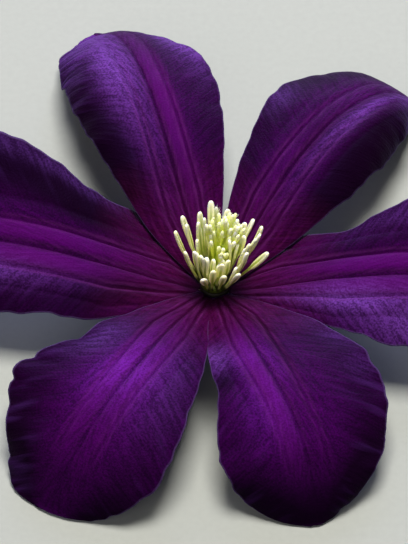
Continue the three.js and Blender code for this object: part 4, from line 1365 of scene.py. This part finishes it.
def stalk_material():
    """Green stem skin: slightly waxy, with long fibres, a purple flush, and pale wood in the cut."""
    material, add = new_material("green_stalk_skin")
    share = add("ShaderNodeAttribute", attribute_name="share").outputs["Vector"]
    shares = add("ShaderNodeSeparateXYZ", {0: share}).outputs
    coords = add("ShaderNodeTexCoord").outputs["Object"]
    density = (1 / STEM_FIBRE, 1 / STEM_FIBRE, 1 / STEM_FIBRE_LENGTH)
    fibres = add("ShaderNodeMapping", {"Vector": coords, "Scale": density})
    fibres = add("ShaderNodeTexNoise", {"Vector": fibres, "Scale": 1.0, "Detail": 3.0})
    flush = {"Value": shares["Y"], "From Min": 0.35, "From Max": 0.8, "To Max": 0.95}
    flush = add("ShaderNodeMapRange", flush)
    cut = add("ShaderNodeMapRange", {"Value": shares["Y"], "From Min": 0.012, "From Max": 0.004})
    ring = add("ShaderNodeMapRange", {"Value": shares["X"], "From Min": 0.95, "From Max": 0.85})
    cut = add("ShaderNodeMath", {0: cut, 1: ring}, operation="MULTIPLY")
    color = hex_color("#42552a")
    for factor, tint in ((fibres, "#8b9c5c"), (flush, "#14060f"), (cut, "#cfd0a0")):
        color = add("ShaderNodeMix", {"Factor": factor, "A": color, "B": hex_color(tint)}, data_type="RGBA")
    bump = add("ShaderNodeBump", {"Height": fibres, "Distance": 0.1 * MM, "Strength": 0.7})
    shader = add(
        "ShaderNodeBsdfPrincipled",
        {"Base Color": color, "Roughness": 0.5, "Normal": bump, "IOR": 1.42, "Specular IOR Level": 0.4},
    )
    add("ShaderNodeOutputMaterial", {"Surface": shader})
    return material


points, faces = turned_ring(STALK_PROFILE)
around = np.arctan2(points[:, 1], points[:, 0])
slim = np.clip((SWELLING - points[:, 2]) / SWELLING_FADE, 0, 1)
points[:, :2] *= (1 + RIB_DEPTH * slim * np.cos(RIBS * around))[:, None]
along = (points[:, 2] - STALK_CUT) / STALK_LENGTH
share = np.stack([np.hypot(points[:, 0], points[:, 1]), along, around], -1)
stalk = solid_piece("stalk_stub", points, faces, share, ATTACHMENT, stalk_material())
run_tree(
    stalk, downy,
    {
        "Density": 4.0e6,
        "Hair Length": 0.5 * MM,
        "Hair Width": 0.025 * MM,
        "Upwards": 0.3,
        "From Height": ATTACHMENT.z - 4.3 * MM,
        "To Height": ATTACHMENT.z - 0.6 * MM,
        "Seed": 9,
        "Material": down,
    },
)
finish_piece(stalk, ["stalk"])

# %% [markdown]
# ## Table, camera and light
# The flower lies on a plain pale table, a painted board with a faint speckle about a millimetre
# across. It could be anything that is even and doesn't pull the eye, and one quad is enough for it.

# %% The table
TABLE_SIZE = 6.0
SPECKLES_PER_METRE = 900.0


def table_material():
    """Matt painted board: an even pale grey that sets the flower off."""
    material, add = new_material("matt_painted_board")
    coords = add("ShaderNodeTexCoord").outputs["Object"]
    speckle = add("ShaderNodeTexNoise", {"Vector": coords, "Scale": SPECKLES_PER_METRE, "Detail": 2.0})
    color = {"Factor": speckle, "A": hex_color("#969a95"), "B": hex_color("#9da19c")}
    color = add("ShaderNodeMix", color, data_type="RGBA")
    shader = add("ShaderNodeBsdfPrincipled", {"Base Color": color, "Roughness": 0.85})
    add("ShaderNodeOutputMaterial", {"Surface": shader})
    return material


edge = TABLE_SIZE / 2
table = mesh_object(
    "table_top", [(-edge, -edge, 0), (edge, -edge, 0), (edge, edge, 0), (-edge, edge, 0)], [[0, 1, 2, 3]]
)
table.data.materials.append(table_material())
print("table:", table.name)

# %% [markdown]
# The camera looks down on the flower at fifty degrees through a long lens, from a metre away, so
# that the tepals keep their true proportions. It is aimed by the photograph's own frame: the place
# where the flower's axis meets the receptacle is 215 pixels from the left and 286 from the top, and
# one pixel is 0.175 mm there.

# %% The camera
IMAGE_WIDTH, IMAGE_HEIGHT = 408, 544
ATTACHMENT_PIXEL = (215, 286)
PIXEL = 0.175 * MM
ELEVATION = math.radians(50)
CAMERA_DISTANCE = 1.0
SENSOR = 36.0

right = Vector((1, 0, 0))
back = Vector((0, -math.cos(ELEVATION), math.sin(ELEVATION)))
upwards = Vector((0, math.sin(ELEVATION), math.cos(ELEVATION)))
target = ATTACHMENT + (IMAGE_WIDTH / 2 - ATTACHMENT_PIXEL[0]) * PIXEL * right
target += (ATTACHMENT_PIXEL[1] - IMAGE_HEIGHT / 2) * PIXEL * upwards

camera_data = bpy.data.cameras.new("camera")
camera_data.sensor_width = SENSOR
camera_data.lens = SENSOR * CAMERA_DISTANCE / (IMAGE_HEIGHT * PIXEL)
camera = bpy.data.objects.new("camera", camera_data)
bpy.context.scene.collection.objects.link(camera)
camera.location = target + CAMERA_DISTANCE * back
camera.rotation_euler = (math.pi / 2 - ELEVATION, 0, 0)
bpy.context.scene.camera = camera
print("lens in mm:", round(camera_data.lens, 1))

# %% [markdown]
# Soft light from two broad panels, one above and one behind the flower, gives the tepals their bloom,
# together with the sheen and shade painted into their colour: light that comes towards the camera
# grazes the crests and the rims, and leaves the tips that hang towards the camera dark. A weaker panel
# in front keeps those from going black.

# %% The lights
def soft_panel(name, place, width, power, color):
    """A square area light at this place, aimed at the flower."""
    data = bpy.data.lights.new(name, "AREA")
    data.size = width
    data.energy = power
    data.color = hex_color(color)[:3]
    panel = bpy.data.objects.new(name, data)
    bpy.context.scene.collection.objects.link(panel)
    panel.location = ATTACHMENT + Vector(place)
    panel.rotation_euler = (-Vector(place)).to_track_quat("-Z", "Y").to_euler()


soft_panel("top_panel", place=(0.05, 0.35, 1.2), width=0.6, power=26.5, color="#fffaf4")
soft_panel("back_panel", place=(0.0, 1.3, 0.5), width=1.0, power=16.0, color="#c4ccff")
soft_panel("front_panel", place=(-0.4, -1.0, 0.9), width=0.8, power=2.8, color="#fff8ee")

world = bpy.data.worlds.new("studio")
bpy.context.scene.world = world
world.use_nodes = True
world.node_tree.nodes.clear()
add = partial(add_node, world.node_tree)
surround = add("ShaderNodeBackground", {"Color": hex_color("#e6e8ee"), "Strength": 0.14})
add("ShaderNodeOutputWorld", {"Surface": surround})
bpy.context.scene.view_settings.view_transform = "Standard"
